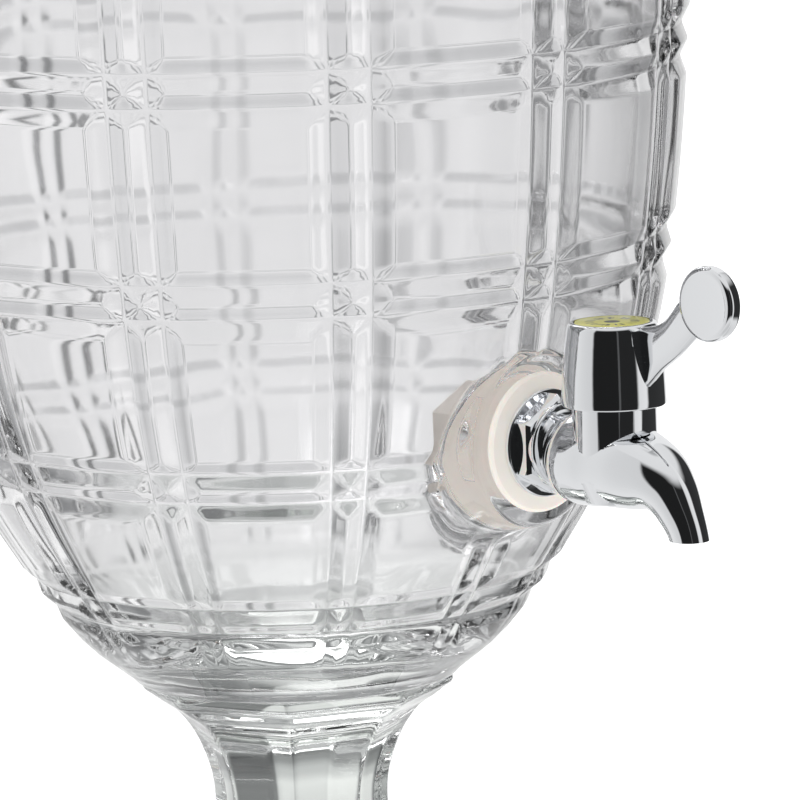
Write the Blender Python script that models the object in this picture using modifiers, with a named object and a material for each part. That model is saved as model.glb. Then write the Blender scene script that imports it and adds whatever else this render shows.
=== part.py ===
"""Footed cut-glass beverage dispenser with a chromed rotary tap.

Metres, +Z up. The origin is the centre of the foot's flat underside, and the tap points to -Y.
The jar's wall carries a window-pane cut: double V-grooves round it and double V-grooves up it.
The tap turns about a vertical axis. Its cap, lever, label, screw, rotor and seals turn together.
"""

import math

import bmesh
import bpy
import numpy as np
from mathutils import Matrix

GAP = 0.0003  # between pieces that touch

# Foot: an octagon in plan. Its outline gives the radius of its corners at each height.
FOOT_TOP = 0.1062
FOOT_SIDES = 8
FOOT_TURN = math.radians(1.6)  # its front corner against the tap's direction
FOOT_COLLAR_RADIUS = 0.0461
FOOT_COLLAR_THICKNESS = 0.0044
FOOT_BASE_RADIUS = 0.0780
FOOT_BASE_EDGE = 0.0060
FOOT_BASE_CHAMFER = 0.0015
FOOT_FLARE = (
    (0.0408, 0.0992),
    (0.0353, 0.0953),
    (0.0298, 0.0872),
    (0.0258, 0.0745),
    (0.0264, 0.0600),
    (0.0315, 0.0430),
    (0.0435, 0.0265),
    (0.0610, 0.0130),
    (0.0760, 0.0072),
)

# Jar: pane-level outline from the bottom edge to the neck, as (radius, height).
JAR_BOTTOM = FOOT_TOP + GAP
JAR_OUTLINE = (
    (0.0488, 0.1085),
    (0.0635, 0.1210),
    (0.0813, 0.1458),
    (0.0970, 0.1746),
    (0.1085, 0.2092),
    (0.1151, 0.2500),
    (0.1193, 0.2980),
    (0.1208, 0.3300),
    (0.1180, 0.3560),
    (0.1085, 0.3750),
    (0.0935, 0.3875),
    (0.0805, 0.3945),
)
JAR_HEEL_RADIUS = 0.0465
JAR_NECK_RADIUS = 0.0790
JAR_NECK_BOTTOM = 0.3975
JAR_NECK_TOP = 0.4025
JAR_BEAD_RADIUS = 0.0830
JAR_BEAD_EDGE = 0.0018
JAR_TOP = 0.4100
JAR_MOUTH_RADIUS = 0.0720
WALL = 0.0062
FLOOR_HEIGHT = 0.1230
FLOOR_RADIUS = 0.0440
FLOOR_SAG = 0.0015

# Cuts in the jar's wall.
BAND_HEIGHTS = (0.1345, 0.1767, 0.2306, 0.2892, 0.3477)
GROOVE_HALF_WIDTH = 0.0049
GROOVE_DEPTH = 0.0020
UPRIGHT_BANDS = 12
UPRIGHT_HALF_WIDTH = math.radians(2.92)
FULL_DEPTH_RADIUS = 0.1050  # the cuts get shallower where the jar is narrower
HEEL_ROW = 0.0030  # the cuts up the jar start this far above its bottom edge
PANE_ROW = 0.0170  # about the height of a row of faces between two bands
SHOULDER_ROWS = 6

# Tap: distances forward are from the jar's axis, along -Y.
TAP_HEIGHT = 0.1860
BOSS_FACE = 0.1080
BOSS_RADIUS = 0.0246
BOSS_EDGE = 0.0022
BOSS_SIDE = ((0.0248, 0.1030), (0.0272, 0.0950), (0.0300, 0.0880))
INNER_FACE = 0.0900
INNER_FACE_RADIUS = 0.0185
INNER_PAD_ROOT = 0.1000
HOLE_RADIUS = 0.0088
SHANK_RADIUS = 0.0080
SHANK_BORE_RADIUS = 0.0045
SHANK_END = 0.0740
SHANK_CHAMFER = 0.0010
WASHER_RADIUS = 0.0196
INNER_WASHER_RADIUS = 0.0175
WASHER_THICKNESS = 0.0023
NUT_FLATS = 0.0260
NUT_THICKNESS = 0.0080
NUT_FLANGE_RADIUS = 0.0158
NUT_FLANGE_THICKNESS = 0.0020
FLANGE_BACK = BOSS_FACE + GAP + WASHER_THICKNESS + GAP
FLANGE_THICKNESS = 0.0018
FLANGE_FRONT = FLANGE_BACK + FLANGE_THICKNESS
FLANGE_RADIUS = 0.0151
FLANGE_EDGE = 0.0006
HEX_CORNER_RADIUS = 0.0141
HEX_CONE_RADII = (0.0100, 0.0150)  # the cone that chamfers its corners, across its front face
HEX_CONE_HEIGHT = 0.0036
HEX_FRONT = 0.1180
COLLAR_RADIUS = 0.0118
COLLAR_FRONT = HEX_FRONT + 0.0012
THROAT_RADIUS = 0.0095
THROAT_BACK = 0.1210
BODY_CENTRE = 0.1290
BODY_HEIGHT = 0.1836
BODY_RADIUS = 0.0131
SPOUT_PATH = (  # forward, height, radius
    (0.1390, 0.1833, 0.0121),
    (0.1475, 0.1828, 0.0116),
    (0.1557, 0.1810, 0.0096),
    (0.1612, 0.1772, 0.0076),
    (0.1652, 0.1716, 0.0061),
    (0.1677, 0.1664, 0.0054),
    (0.1690, 0.1600, 0.0054),
)
SPOUT_TIP = 0.1652

# The lever turns about this upright axis.
AXIS_FORWARD = 0.1395
NECK_OUTLINE = (
    (0, 0.2040),
    (0.0112, 0.2040),
    (0.0116, 0.2036),
    (0.0116, 0.1790),
    (0.0086, 0.1730),
    (0, 0.1716),
)
CHAMBER_RADIUS = 0.0078
CHAMBER_FLOOR = 0.1790
COUNTERBORE_RADIUS = 0.0096
COUNTERBORE_FLOOR = 0.1989
RING_GROOVE_RADIUS = 0.0105
RING_GROOVE = (0.2009, 0.2025)
PASSAGE_PATH = (  # from the chamber's floor to a little past the spout's tip
    (0.1375, 0.1766, 0.0034),
    (0.1490, 0.1766, 0.0034),
    (0.1560, 0.1778, 0.0034),
    (0.1610, 0.1758, 0.0034),
    (0.1651, 0.1712, 0.0038),
    (0.1677, 0.1660, 0.0042),
    (0.1690, 0.1600, 0.0042),
)

ROTOR_RADIUS = 0.0073
SHOULDER_RADIUS = 0.0092
SHOULDER_THICKNESS = 0.0015
PORT_RADIUS = 0.0033
PORT_TOP = TAP_HEIGHT + 0.0010
STEM_WIDTH = 0.0076
STEM_TOP = 0.2140
STEM_HOLE_RADIUS = 0.0017
STEM_HOLE_FLOOR = 0.2050
O_RING_HEIGHTS = {"lower_o_ring": 0.1810, "upper_o_ring": 0.1940}
O_RING_THICKNESS = 0.0016
O_RING_OUTSIDE = 0.00755
SNAP_RING_OUTSIDE = 0.0101
SNAP_RING_INSIDE = 0.0082

CAP_BOTTOM = 0.1995
CAP_TOP = 0.2224
CAP_OUTLINE = (
    (0, CAP_TOP),
    (0.0112, CAP_TOP),
    (0.0121, 0.2219),
    (0.0125, 0.2209),
    (0.01326, 0.2159),
    (0.01402, 0.2090),
    (0.0144, 0.2015),
    (0.0144, 0.2001),
    (0.0138, CAP_BOTTOM),
    (0, CAP_BOTTOM),
)
CAP_HOLLOW_RADIUS = 0.0121
CAP_HOLLOW_TOP = 0.2046
SOCKET_TOP = STEM_TOP + GAP
SCREW_SEAT = 0.2160
SCREW_HOLE_RADIUS = 0.0018
HEAD_RECESS_RADIUS = 0.0042
SCREW_HEAD = 0.0024
SCREW_HEAD_RADIUS = 0.0032
SCREW_THREAD_RADIUS = 0.0014
SCREW_TIP = 0.2056
SCREW_EDGE = 0.0006
DRIVER_SOCKET_RADIUS = 0.0015
DRIVER_SOCKET_DEPTH = 0.0012
LABEL_RADIUS = 0.0103
LABEL_THICKNESS = 0.0009
LEVER_THICKNESS = 0.0036
LEVER_UPPER_EDGE = ((0.1480, 0.2218), (0.1550, 0.2224), (0.1614, 0.2248), (0.1680, 0.2312))
LEVER_LOWER_EDGE = ((0.1755, 0.2212), (0.1666, 0.2158), (0.1594, 0.2108), (0.1520, 0.2046))
LEVER_IN_PADDLE = (0.1770, 0.2300)
LEVER_IN_CAP = (0.1480, 0.2046)
PADDLE_OUTLINE = (
    (0, 0.0024),
    (0.00865, 0.0024),
    (0.00985, 0.0018),
    (0.01025, 0.0008),
    (0.01025, -0.0008),
    (0.00985, -0.0018),
    (0.00865, -0.0024),
    (0, -0.0024),
)
PADDLE_FORWARD = 0.1781
PADDLE_HEIGHT = 0.2305

# Lid: a domed glass cover with a plug that enters the jar's mouth.
LID_BOTTOM = JAR_TOP + GAP
LID_RADIUS = 0.0850
LID_RIM_TOP = LID_BOTTOM + 0.0030
LID_CHAMFER = 0.0015
LID_PLUG_RADIUS = 0.0680
LID_PLUG_BOTTOM = LID_BOTTOM - 0.0120
LID_PLUG_WALL = 0.0050
DOME_RADIUS = 0.0820
DOME_FOOT = LID_BOTTOM + 0.0050
DOME_TOP = 0.4360
DOME_HOLLOW_TOP = 0.4300
KNOB_SIDES = 8
KNOB_NECK_RADIUS = 0.0105
KNOB_OUTLINE = (
    (0, 0.4740),
    (0.01045, 0.4740),
    (0.0190, 0.4600),
    (0.0190, 0.4520),
    (KNOB_NECK_RADIUS, 0.4420),
    (KNOB_NECK_RADIUS, 0.4340),
    (0, 0.4340),
)
GASKET_RADIUS = 0.0716
GASKET_TOP = LID_BOTTOM - 0.0035
GASKET_THICKNESS = 0.0050
GASKET_EDGE = 0.0012

CLEAR = 0.0040  # how far a cutter runs past what it cuts
MOST_FLAT_SIDES = 8  # a turned shape with more sides than this is a round one
FULL_TURN = 2 * math.pi
FACING_FRONT = (math.pi / 2, 0, 0)  # turns a piece's own +Z to the tap's direction


def clear_scene():
    for obj in list(bpy.data.objects):
        bpy.data.objects.remove(obj)


def new_collection(name):
    collection = bpy.data.collections.new(name)
    bpy.context.scene.collection.children.link(collection)
    return collection


def material(name, colour, roughness, metallic=0.0, transmission=0.0, ior=1.5):
    made = bpy.data.materials.new(name)
    made.use_nodes = True
    shader = made.node_tree.nodes["Principled BSDF"]
    shader.inputs["Base Color"].default_value = (*colour, 1)
    shader.inputs["Roughness"].default_value = roughness
    shader.inputs["Metallic"].default_value = metallic
    shader.inputs["Transmission Weight"].default_value = transmission
    shader.inputs["IOR"].default_value = ior
    made.diffuse_color = (*colour, 1)
    return made


def place(name, mesh, surface=None, location=(0, 0, 0), rotation=(0, 0, 0)):
    """An object in the dispenser if it has a surface, otherwise a cutter or a shape to be joined."""
    obj = bpy.data.objects.new(name, mesh)
    obj.location = location
    obj.rotation_euler = rotation
    if surface:
        obj.data.materials.append(surface)
        DISPENSER.objects.link(obj)
    else:
        obj.hide_render = True
        obj.display_type = "WIRE"
        CUTTERS.objects.link(obj)
    return obj


def turned(name, outline, steps, surface=None, location=(0, 0, 0), rotation=(0, 0, 0), ring=False):
    """Turns an outline of (radius, height), which runs down its outer side, about the object's Z."""
    mesh = bpy.data.meshes.new(name)
    ends = [(i, i + 1) for i in range(len(outline) - 1)]
    if ring:
        ends.append((len(outline) - 1, 0))
    mesh.from_pydata([(radius, 0, height) for radius, height in outline], ends, [])
    obj = place(name, mesh, surface, location, rotation)
    screw = obj.modifiers.new("Turn", "SCREW")
    screw.steps = screw.render_steps = steps
    screw.use_merge_vertices = True
    screw.merge_threshold = 0.00001
    screw.use_smooth_shade = steps > MOST_FLAT_SIDES
    return obj


def rod(name, radius, low, high, steps=24, **placed):
    return turned(name, ((0, high), (radius, high), (radius, low), (0, low)), steps, **placed)


def washer(name, outer, inner, low, high, steps=40, **placed):
    outline = ((inner, high), (outer, high), (outer, low), (inner, low))
    return turned(name, outline, steps, ring=True, **placed)


def prism(name, sides, corner_radius, low, high, surface=None, turn=0.0, **placed):
    made = bmesh.new()
    bmesh.ops.create_cone(
        made,
        cap_ends=True,
        segments=sides,
        radius1=corner_radius,
        radius2=corner_radius,
        depth=high - low,
        matrix=Matrix.Translation((0, 0, (low + high) / 2)) @ Matrix.Rotation(turn, 4, "Z"),
    )
    mesh = bpy.data.meshes.new(name)
    made.to_mesh(mesh)
    made.free()
    return place(name, mesh, surface, **placed)


def combine(obj, operation, *others):
    for other in others:
        boolean = obj.modifiers.new(other.name, "BOOLEAN")
        boolean.operation = operation
        boolean.object = other
    return obj


def curve_to_mesh(curve):
    """Replaces a curve object by a cutter or shape of the same name, with its caps welded to its sides."""
    bpy.context.view_layer.update()
    evaluated = curve.evaluated_get(bpy.context.evaluated_depsgraph_get())
    made = bmesh.new()
    made.from_mesh(bpy.data.meshes.new_from_object(evaluated))
    bmesh.ops.remove_doubles(made, verts=made.verts, dist=0.000001)
    bmesh.ops.recalc_face_normals(made, faces=made.faces)
    name = curve.name
    matrix = curve.matrix_world.copy()
    bpy.data.objects.remove(curve)
    mesh = bpy.data.meshes.new(name)
    made.to_mesh(mesh)
    made.free()
    obj = place(name, mesh)
    obj.matrix_world = matrix
    return obj


def smooth_points(points, per_span):
    """A Catmull-Rom curve through the points, as an array of per_span points a span and the last one."""
    known = np.array(points, float)
    padded = np.vstack([2 * known[0] - known[1], known, 2 * known[-1] - known[-2]])
    found = []
    for i in range(len(known) - 1):
        before, start, end, after = padded[i : i + 4]
        for t in np.arange(per_span) / per_span:
            slope = 2 * before - 5 * start + 4 * end - after
            bend = 3 * start - before - 3 * end + after
            found.append(start + (t * (end - before) + t**2 * slope + t**3 * bend) / 2)
    return np.array(found + [known[-1]])


def tapered_tube(name, path, sides_resolution=3):
    """A tube along a path of (forward, height, radius) in the plane that holds the tap."""
    data = bpy.data.curves.new(name, "CURVE")
    data.dimensions = "3D"
    data.bevel_depth = 1.0
    data.bevel_resolution = sides_resolution
    data.use_fill_caps = True
    line = data.splines.new("POLY")
    line.points.add(len(path) - 1)
    for point, (forward, height, radius) in zip(line.points, path):
        point.co = (0, -forward, height, 1)
        point.radius = radius
    curve = bpy.data.objects.new(name, data)
    CUTTERS.objects.link(curve)
    return curve_to_mesh(curve)


def flat_plate(name, outline, thickness):
    """A plate whose outline of (forward, height) lies in the plane that holds the tap."""
    data = bpy.data.curves.new(name, "CURVE")
    data.dimensions = "2D"
    data.fill_mode = "BOTH"
    data.extrude = thickness / 2
    line = data.splines.new("POLY")
    line.points.add(len(outline) - 1)
    line.use_cyclic_u = True
    for point, (forward, height) in zip(line.points, outline):
        point.co = (forward, height, 0, 1)
    curve = bpy.data.objects.new(name, data)
    curve.matrix_world = Matrix(((0, 0, -1, 0), (-1, 0, 0, 0), (0, 1, 0, 0), (0, 0, 0, 1)))
    CUTTERS.objects.link(curve)
    return curve_to_mesh(curve)


def arc(centre, radius, start, end, count):
    """Points on an arc, with angles in degrees."""
    angles = np.radians(np.linspace(start, end, count))
    return [(centre[0] + radius * math.cos(a), centre[1] + radius * math.sin(a)) for a in angles]


# Glass


def jar_wall():
    """The pane-level outline as a dense curve: points, distances along it and outward normals."""
    points = smooth_points(JAR_OUTLINE, 24)
    along = np.gradient(points, axis=0)
    along /= np.linalg.norm(along, axis=1)[:, None]
    normals = np.stack([along[:, 1], -along[:, 0]], axis=1)
    steps = np.linalg.norm(np.diff(points, axis=0), axis=1)
    return points, np.concatenate([[0], np.cumsum(steps)]), normals


def wall_at(wall, distance, inset):
    """(radius, height) on the wall at a distance along it, inset along the normal."""
    points, distances, normals = wall
    where = [np.interp(distance, distances, points[:, i] - inset * normals[:, i]) for i in (0, 1)]
    return tuple(where)


def jar_rows(wall):
    """The rows of the jar's wall from the bottom up, as (distance along it, depth of the cut round it)."""
    points, distances, _ = wall
    total = distances[-1]
    rows = [(0.0, 0.0), (HEEL_ROW, 0.0)]
    for height in BAND_HEIGHTS:
        centre = np.interp(height, points[:, 1], distances)
        first = centre - 2 * GROOVE_HALF_WIDTH
        pane = first - rows[-1][0]
        cuts = max(1, round(pane / PANE_ROW))
        start = rows[-1][0]
        rows += [(start + pane * k / cuts, 0.0) for k in range(1, cuts)]
        rows += [(first + k * GROOVE_HALF_WIDTH, GROOVE_DEPTH * (k % 2)) for k in range(5)]
    start = rows[-1][0]
    rise = (total - start) / SHOULDER_ROWS
    rows += [(start + rise * k, 0.0) for k in range(1, SHOULDER_ROWS)]
    return rows + [(total, 0.0)]


def jar_columns():
    """Angles round the jar with the depth of the cut up it there, as a share of the full depth."""
    pitch = FULL_TURN / UPRIGHT_BANDS
    columns = []
    for band in range(UPRIGHT_BANDS):
        centre = band * pitch - math.pi / 2
        columns += [(centre + k * UPRIGHT_HALF_WIDTH, abs(k) % 2) for k in range(-2, 3)]
        columns.append((centre + pitch / 2, 0))
    return columns


def cut_glass_blank():
    """The jar's outside as a closed solid: a lofted grid whose rows and columns follow the cuts."""
    wall = jar_wall()
    rows = jar_rows(wall)
    columns = jar_columns()
    count = len(columns)
    last = rows[-1][0]
    upper = [(JAR_NECK_RADIUS, JAR_NECK_BOTTOM), (JAR_NECK_RADIUS, JAR_NECK_TOP)]
    upper += [(JAR_BEAD_RADIUS, JAR_NECK_TOP + JAR_BEAD_EDGE), (JAR_BEAD_RADIUS, JAR_TOP - JAR_BEAD_EDGE)]
    upper += [(JAR_BEAD_RADIUS - JAR_BEAD_EDGE, JAR_TOP)]
    made = bmesh.new()
    rings = []

    def add_ring(positions):
        rings.append([
            (made.verts.new((r * math.cos(a), r * math.sin(a), z)), depth)
            for (a, _), (r, z, depth) in zip(columns, positions)
        ])

    add_ring([(JAR_HEEL_RADIUS, JAR_BOTTOM, 0)] * count)
    for distance, round_depth in rows:
        radius, _ = wall_at(wall, distance, 0)
        reach = min(1.0, radius / FULL_DEPTH_RADIUS)
        ending = distance in (0.0, last)
        upright = 0 if ending else GROOVE_DEPTH * reach
        depths = [max(round_depth * reach, share * upright) for _, share in columns]
        add_ring([(*wall_at(wall, distance, depth), depth) for depth in depths])
    for radius, height in upper:
        add_ring([(radius, height, 0)] * count)

    for below, above in zip(rings, rings[1:]):
        for i in range(count):
            j = (i + 1) % count
            corners = (below[i], below[j], above[j], above[i])
            a, b, c, d = [vert for vert, _ in corners]
            # The crease of a mitred corner joins its one shallow point to the deep point opposite.
            if abs(corners[0][1] - corners[2][1]) >= abs(corners[1][1] - corners[3][1]):
                made.faces.new((a, b, c))
                made.faces.new((a, c, d))
            else:
                made.faces.new((a, b, d))
                made.faces.new((b, c, d))
    made.faces.new([vert for vert, _ in reversed(rings[0])])
    made.faces.new([vert for vert, _ in rings[-1]])
    mesh = bpy.data.meshes.new("jar")
    made.to_mesh(mesh)
    made.free()
    return mesh


def jar_cavity():
    """The inside of the jar, from above its rim down to its floor."""
    wall = jar_wall()
    last = wall[1][-1]
    above = JAR_TOP + CLEAR
    outline = [(0, above), (JAR_MOUTH_RADIUS, above), (JAR_MOUTH_RADIUS, JAR_NECK_BOTTOM)]
    outline += [wall_at(wall, last * share, WALL) for share in np.linspace(0.9, 0.2, 8)]
    outline += [(FLOOR_RADIUS, FLOOR_HEIGHT + FLOOR_SAG), (0.7 * FLOOR_RADIUS, FLOOR_HEIGHT)]
    return turned("jar_cavity", outline + [(0, FLOOR_HEIGHT)], 40)


def make_jar(glass):
    at_tap = {"location": (0, 0, TAP_HEIGHT), "rotation": FACING_FRONT}
    boss_outline = [(0, BOSS_FACE)]
    boss_outline += arc((BOSS_RADIUS - BOSS_EDGE, BOSS_FACE - BOSS_EDGE), BOSS_EDGE, 90, 0, 3)
    boss_outline += [*BOSS_SIDE, (0, BOSS_SIDE[-1][1])]
    boss = turned("boss", boss_outline, 36, **at_tap)
    pad_outline = [(0, INNER_PAD_ROOT), (INNER_FACE_RADIUS * 1.15, INNER_PAD_ROOT)]
    pad_outline += [(INNER_FACE_RADIUS, INNER_FACE), (0, INNER_FACE)]
    pad = turned("inner_pad", pad_outline, 28, **at_tap)
    spot_face = rod("spot_face", INNER_FACE_RADIUS, INNER_FACE - 3 * CLEAR, INNER_FACE, 28, **at_tap)
    front_face = rod("front_face", BOSS_RADIUS + 0.001, BOSS_FACE, BOSS_FACE + CLEAR, 36, **at_tap)
    hole = rod("tap_hole", HOLE_RADIUS, INNER_FACE - CLEAR, BOSS_FACE + CLEAR, 28, **at_tap)
    jar = place("jar", cut_glass_blank(), glass)
    combine(jar, "UNION", boss)
    combine(jar, "DIFFERENCE", jar_cavity())
    combine(jar, "UNION", pad)
    combine(jar, "DIFFERENCE", spot_face, front_face, hole)
    return jar


def make_foot(glass):
    edge_radius = FOOT_COLLAR_THICKNESS / 2
    collar = (FOOT_COLLAR_RADIUS - edge_radius, FOOT_TOP - edge_radius)
    outline = [(0, FOOT_TOP)] + arc(collar, edge_radius, 90, -90, 5)
    outline += [tuple(point) for point in smooth_points(FOOT_FLARE, 2)]
    outline += [(FOOT_BASE_RADIUS, FOOT_BASE_EDGE), (FOOT_BASE_RADIUS, FOOT_BASE_CHAMFER)]
    outline += [(FOOT_BASE_RADIUS - FOOT_BASE_CHAMFER, 0), (0, 0)]
    return turned("foot", outline, FOOT_SIDES, glass, rotation=(0, 0, FOOT_TURN - math.pi / 2))


def make_lid(glass):
    run = DOME_RADIUS - KNOB_NECK_RADIUS
    rise = DOME_TOP - DOME_FOOT
    outline = [(0, DOME_TOP), (KNOB_NECK_RADIUS, DOME_TOP)]
    for a in np.radians(np.linspace(12, 90, 7)):
        outline.append((KNOB_NECK_RADIUS + run * math.sin(a), DOME_FOOT + rise * math.cos(a)))
    outline += [(LID_RADIUS, LID_RIM_TOP), (LID_RADIUS, LID_BOTTOM + LID_CHAMFER)]
    outline += [(LID_RADIUS - LID_CHAMFER, LID_BOTTOM), (LID_PLUG_RADIUS, LID_BOTTOM)]
    inside = LID_PLUG_RADIUS - LID_PLUG_WALL
    outline += [(LID_PLUG_RADIUS, LID_PLUG_BOTTOM), (inside, LID_PLUG_BOTTOM)]
    height = DOME_HOLLOW_TOP - LID_BOTTOM
    for a in np.radians(np.linspace(90, 0, 6)):
        outline.append((inside * math.sin(a), LID_BOTTOM + height * math.cos(a)))
    lid = turned("lid", outline, 40, glass)
    knob = turned("knob", KNOB_OUTLINE, KNOB_SIDES, rotation=(0, 0, math.pi / KNOB_SIDES))
    return combine(lid, "UNION", knob)


def make_lid_gasket(silicone):
    inner = LID_PLUG_RADIUS + GAP
    bottom = GASKET_TOP - GASKET_THICKNESS
    outline = [(inner, GASKET_TOP), (GASKET_RADIUS - GASKET_EDGE, GASKET_TOP)]
    outline += [(GASKET_RADIUS, GASKET_TOP - GASKET_EDGE), (GASKET_RADIUS, bottom + GASKET_EDGE)]
    outline += [(GASKET_RADIUS - GASKET_EDGE, bottom), (inner, bottom)]
    return turned("lid_gasket", outline, 40, silicone, ring=True)


# Tap


def valve_chamber(at_axis):
    top = NECK_OUTLINE[0][1] + CLEAR
    low, high = RING_GROOVE
    outline = (
        (0, top),
        (COUNTERBORE_RADIUS, top),
        (COUNTERBORE_RADIUS, high),
        (RING_GROOVE_RADIUS, high),
        (RING_GROOVE_RADIUS, low),
        (COUNTERBORE_RADIUS, low),
        (COUNTERBORE_RADIUS, COUNTERBORE_FLOOR),
        (CHAMBER_RADIUS, COUNTERBORE_FLOOR),
        (CHAMBER_RADIUS, CHAMBER_FLOOR),
        (0, CHAMBER_FLOOR),
    )
    return turned("valve_chamber", outline, 28, location=at_axis)


def make_flange_hex(at_tap):
    hexagon = prism("flange_hex", 6, HEX_CORNER_RADIUS, FLANGE_FRONT - FLANGE_EDGE, HEX_FRONT, **at_tap)
    inner, outer = HEX_CONE_RADII
    front = HEX_FRONT + HEX_CONE_HEIGHT / 2
    back = front - HEX_CONE_HEIGHT
    outline = ((0, front), (inner, front), (outer, back), (outer, FLANGE_BACK), (0, FLANGE_BACK))
    return combine(hexagon, "INTERSECT", turned("hex_chamfer", outline, 32, **at_tap))


def make_tap_body(chrome, at_axis):
    at_tap = {"location": (0, 0, TAP_HEIGHT), "rotation": FACING_FRONT}
    outline = [(0, BODY_CENTRE), (THROAT_RADIUS, BODY_CENTRE), (THROAT_RADIUS, THROAT_BACK)]
    outline += [(COLLAR_RADIUS, COLLAR_FRONT), (COLLAR_RADIUS, FLANGE_FRONT)]
    outline += [(FLANGE_RADIUS - FLANGE_EDGE, FLANGE_FRONT), (FLANGE_RADIUS, FLANGE_FRONT - FLANGE_EDGE)]
    outline += [(FLANGE_RADIUS, FLANGE_BACK), (SHANK_RADIUS, FLANGE_BACK)]
    outline += [(SHANK_RADIUS, SHANK_END + SHANK_CHAMFER), (SHANK_RADIUS - SHANK_CHAMFER, SHANK_END)]
    outline += [(0, SHANK_END)]
    body = turned("tap_body", outline, 32, chrome, **at_tap)
    ball_outline = [(0, BODY_RADIUS), *arc((0, 0), BODY_RADIUS, 90, -90, 13)[1:-1], (0, -BODY_RADIUS)]
    ball = turned("ball", ball_outline, 28, location=(0, -BODY_CENTRE, BODY_HEIGHT))
    neck = turned("neck", NECK_OUTLINE, 28, location=at_axis)
    spout = tapered_tube("spout", smooth_points(SPOUT_PATH, 3))
    combine(body, "UNION", make_flange_hex(at_tap), ball, neck, spout)
    below_tip = (0, -SPOUT_PATH[-2][0], SPOUT_TIP)
    tip_cut = prism("tip_cut", 4, 5 * CLEAR, -2 * CLEAR, 0, location=below_tip, turn=math.pi / 4)
    passage = tapered_tube("passage", smooth_points(PASSAGE_PATH, 2), 2)
    reach = AXIS_FORWARD - SHANK_BORE_RADIUS
    bore = rod("shank_bore", SHANK_BORE_RADIUS, SHANK_END - CLEAR, reach, 20, **at_tap)
    return combine(body, "DIFFERENCE", tip_cut, valve_chamber(at_axis), bore, passage)


def make_washers(silicone):
    at_tap = {"surface": silicone, "location": (0, 0, TAP_HEIGHT), "rotation": FACING_FRONT}
    inner = SHANK_RADIUS + GAP
    back = BOSS_FACE + GAP
    washer("outer_washer", WASHER_RADIUS, inner, back, back + WASHER_THICKNESS, **at_tap)
    front = INNER_FACE - GAP
    washer("inner_washer", INNER_WASHER_RADIUS, inner, front - WASHER_THICKNESS, front, **at_tap)


def make_shank_nut(plastic):
    at_tap = {"location": (0, 0, TAP_HEIGHT), "rotation": FACING_FRONT}
    front = INNER_FACE - 2 * GAP - WASHER_THICKNESS
    back = front - NUT_THICKNESS
    corner = NUT_FLATS / math.sqrt(3)
    nut = prism("shank_nut", 6, corner, back, front - NUT_FLANGE_THICKNESS / 2, plastic, **at_tap)
    flange = rod("nut_flange", NUT_FLANGE_RADIUS, front - NUT_FLANGE_THICKNESS, front, 32, **at_tap)
    thread_hole = rod("nut_hole", SHANK_RADIUS + GAP, back - CLEAR, front + CLEAR, 28, **at_tap)
    combine(nut, "UNION", flange)
    return combine(nut, "DIFFERENCE", thread_hole)


def make_rotor(plastic, at_axis):
    bottom = CHAMBER_FLOOR + GAP
    shoulder = COUNTERBORE_FLOOR + GAP
    shoulder_top = shoulder + SHOULDER_THICKNESS
    groove = O_RING_OUTSIDE - O_RING_THICKNESS - GAP
    half = O_RING_THICKNESS / 2 + GAP
    outline = [(0, shoulder_top), (SHOULDER_RADIUS, shoulder_top), (SHOULDER_RADIUS, shoulder)]
    outline.append((ROTOR_RADIUS, shoulder))
    for height in sorted(O_RING_HEIGHTS.values(), reverse=True):
        outline += [(ROTOR_RADIUS, height + half), (groove, height + half)]
        outline += [(groove, height - half), (ROTOR_RADIUS, height - half)]
    outline += [(ROTOR_RADIUS, bottom), (0, bottom)]
    rotor = turned("valve_rotor", outline, 28, plastic, location=at_axis)
    stem = prism("stem", 4, STEM_WIDTH / math.sqrt(2), shoulder, STEM_TOP, location=at_axis, turn=math.pi / 4)
    combine(rotor, "UNION", stem)
    sideways = (0, math.pi / 2, 0)
    port_place = (0, at_axis[1], TAP_HEIGHT)
    reach = ROTOR_RADIUS + CLEAR
    port = rod("cross_port", PORT_RADIUS, -reach, reach, 20, location=port_place, rotation=sideways)
    outlet = rod("rotor_outlet", PORT_RADIUS, bottom - CLEAR, PORT_TOP, 20, location=at_axis)
    hole_top = STEM_TOP + CLEAR
    screw_hole = rod("stem_hole", STEM_HOLE_RADIUS, STEM_HOLE_FLOOR, hole_top, 16, location=at_axis)
    return combine(rotor, "DIFFERENCE", port, outlet, screw_hole)


def make_seals(rubber, steel, at_axis):
    centre = O_RING_OUTSIDE - O_RING_THICKNESS / 2
    for name, height in O_RING_HEIGHTS.items():
        loop = arc((centre, height), O_RING_THICKNESS / 2, 360, 45, 8)
        turned(name, loop, 24, rubber, location=at_axis, ring=True)
    low, high = RING_GROOVE
    size = (SNAP_RING_OUTSIDE, SNAP_RING_INSIDE, low + GAP, high - GAP)
    washer("snap_ring", *size, 32, surface=steel, location=at_axis)


def lever_outline():
    """The lever's web from inside the cap to inside the paddle: its upper edge out, its lower edge back."""
    upper = smooth_points(LEVER_UPPER_EDGE, 3)
    lower = smooth_points(LEVER_LOWER_EDGE, 3)
    return [*upper, LEVER_IN_PADDLE, *lower, LEVER_IN_CAP]


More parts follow.
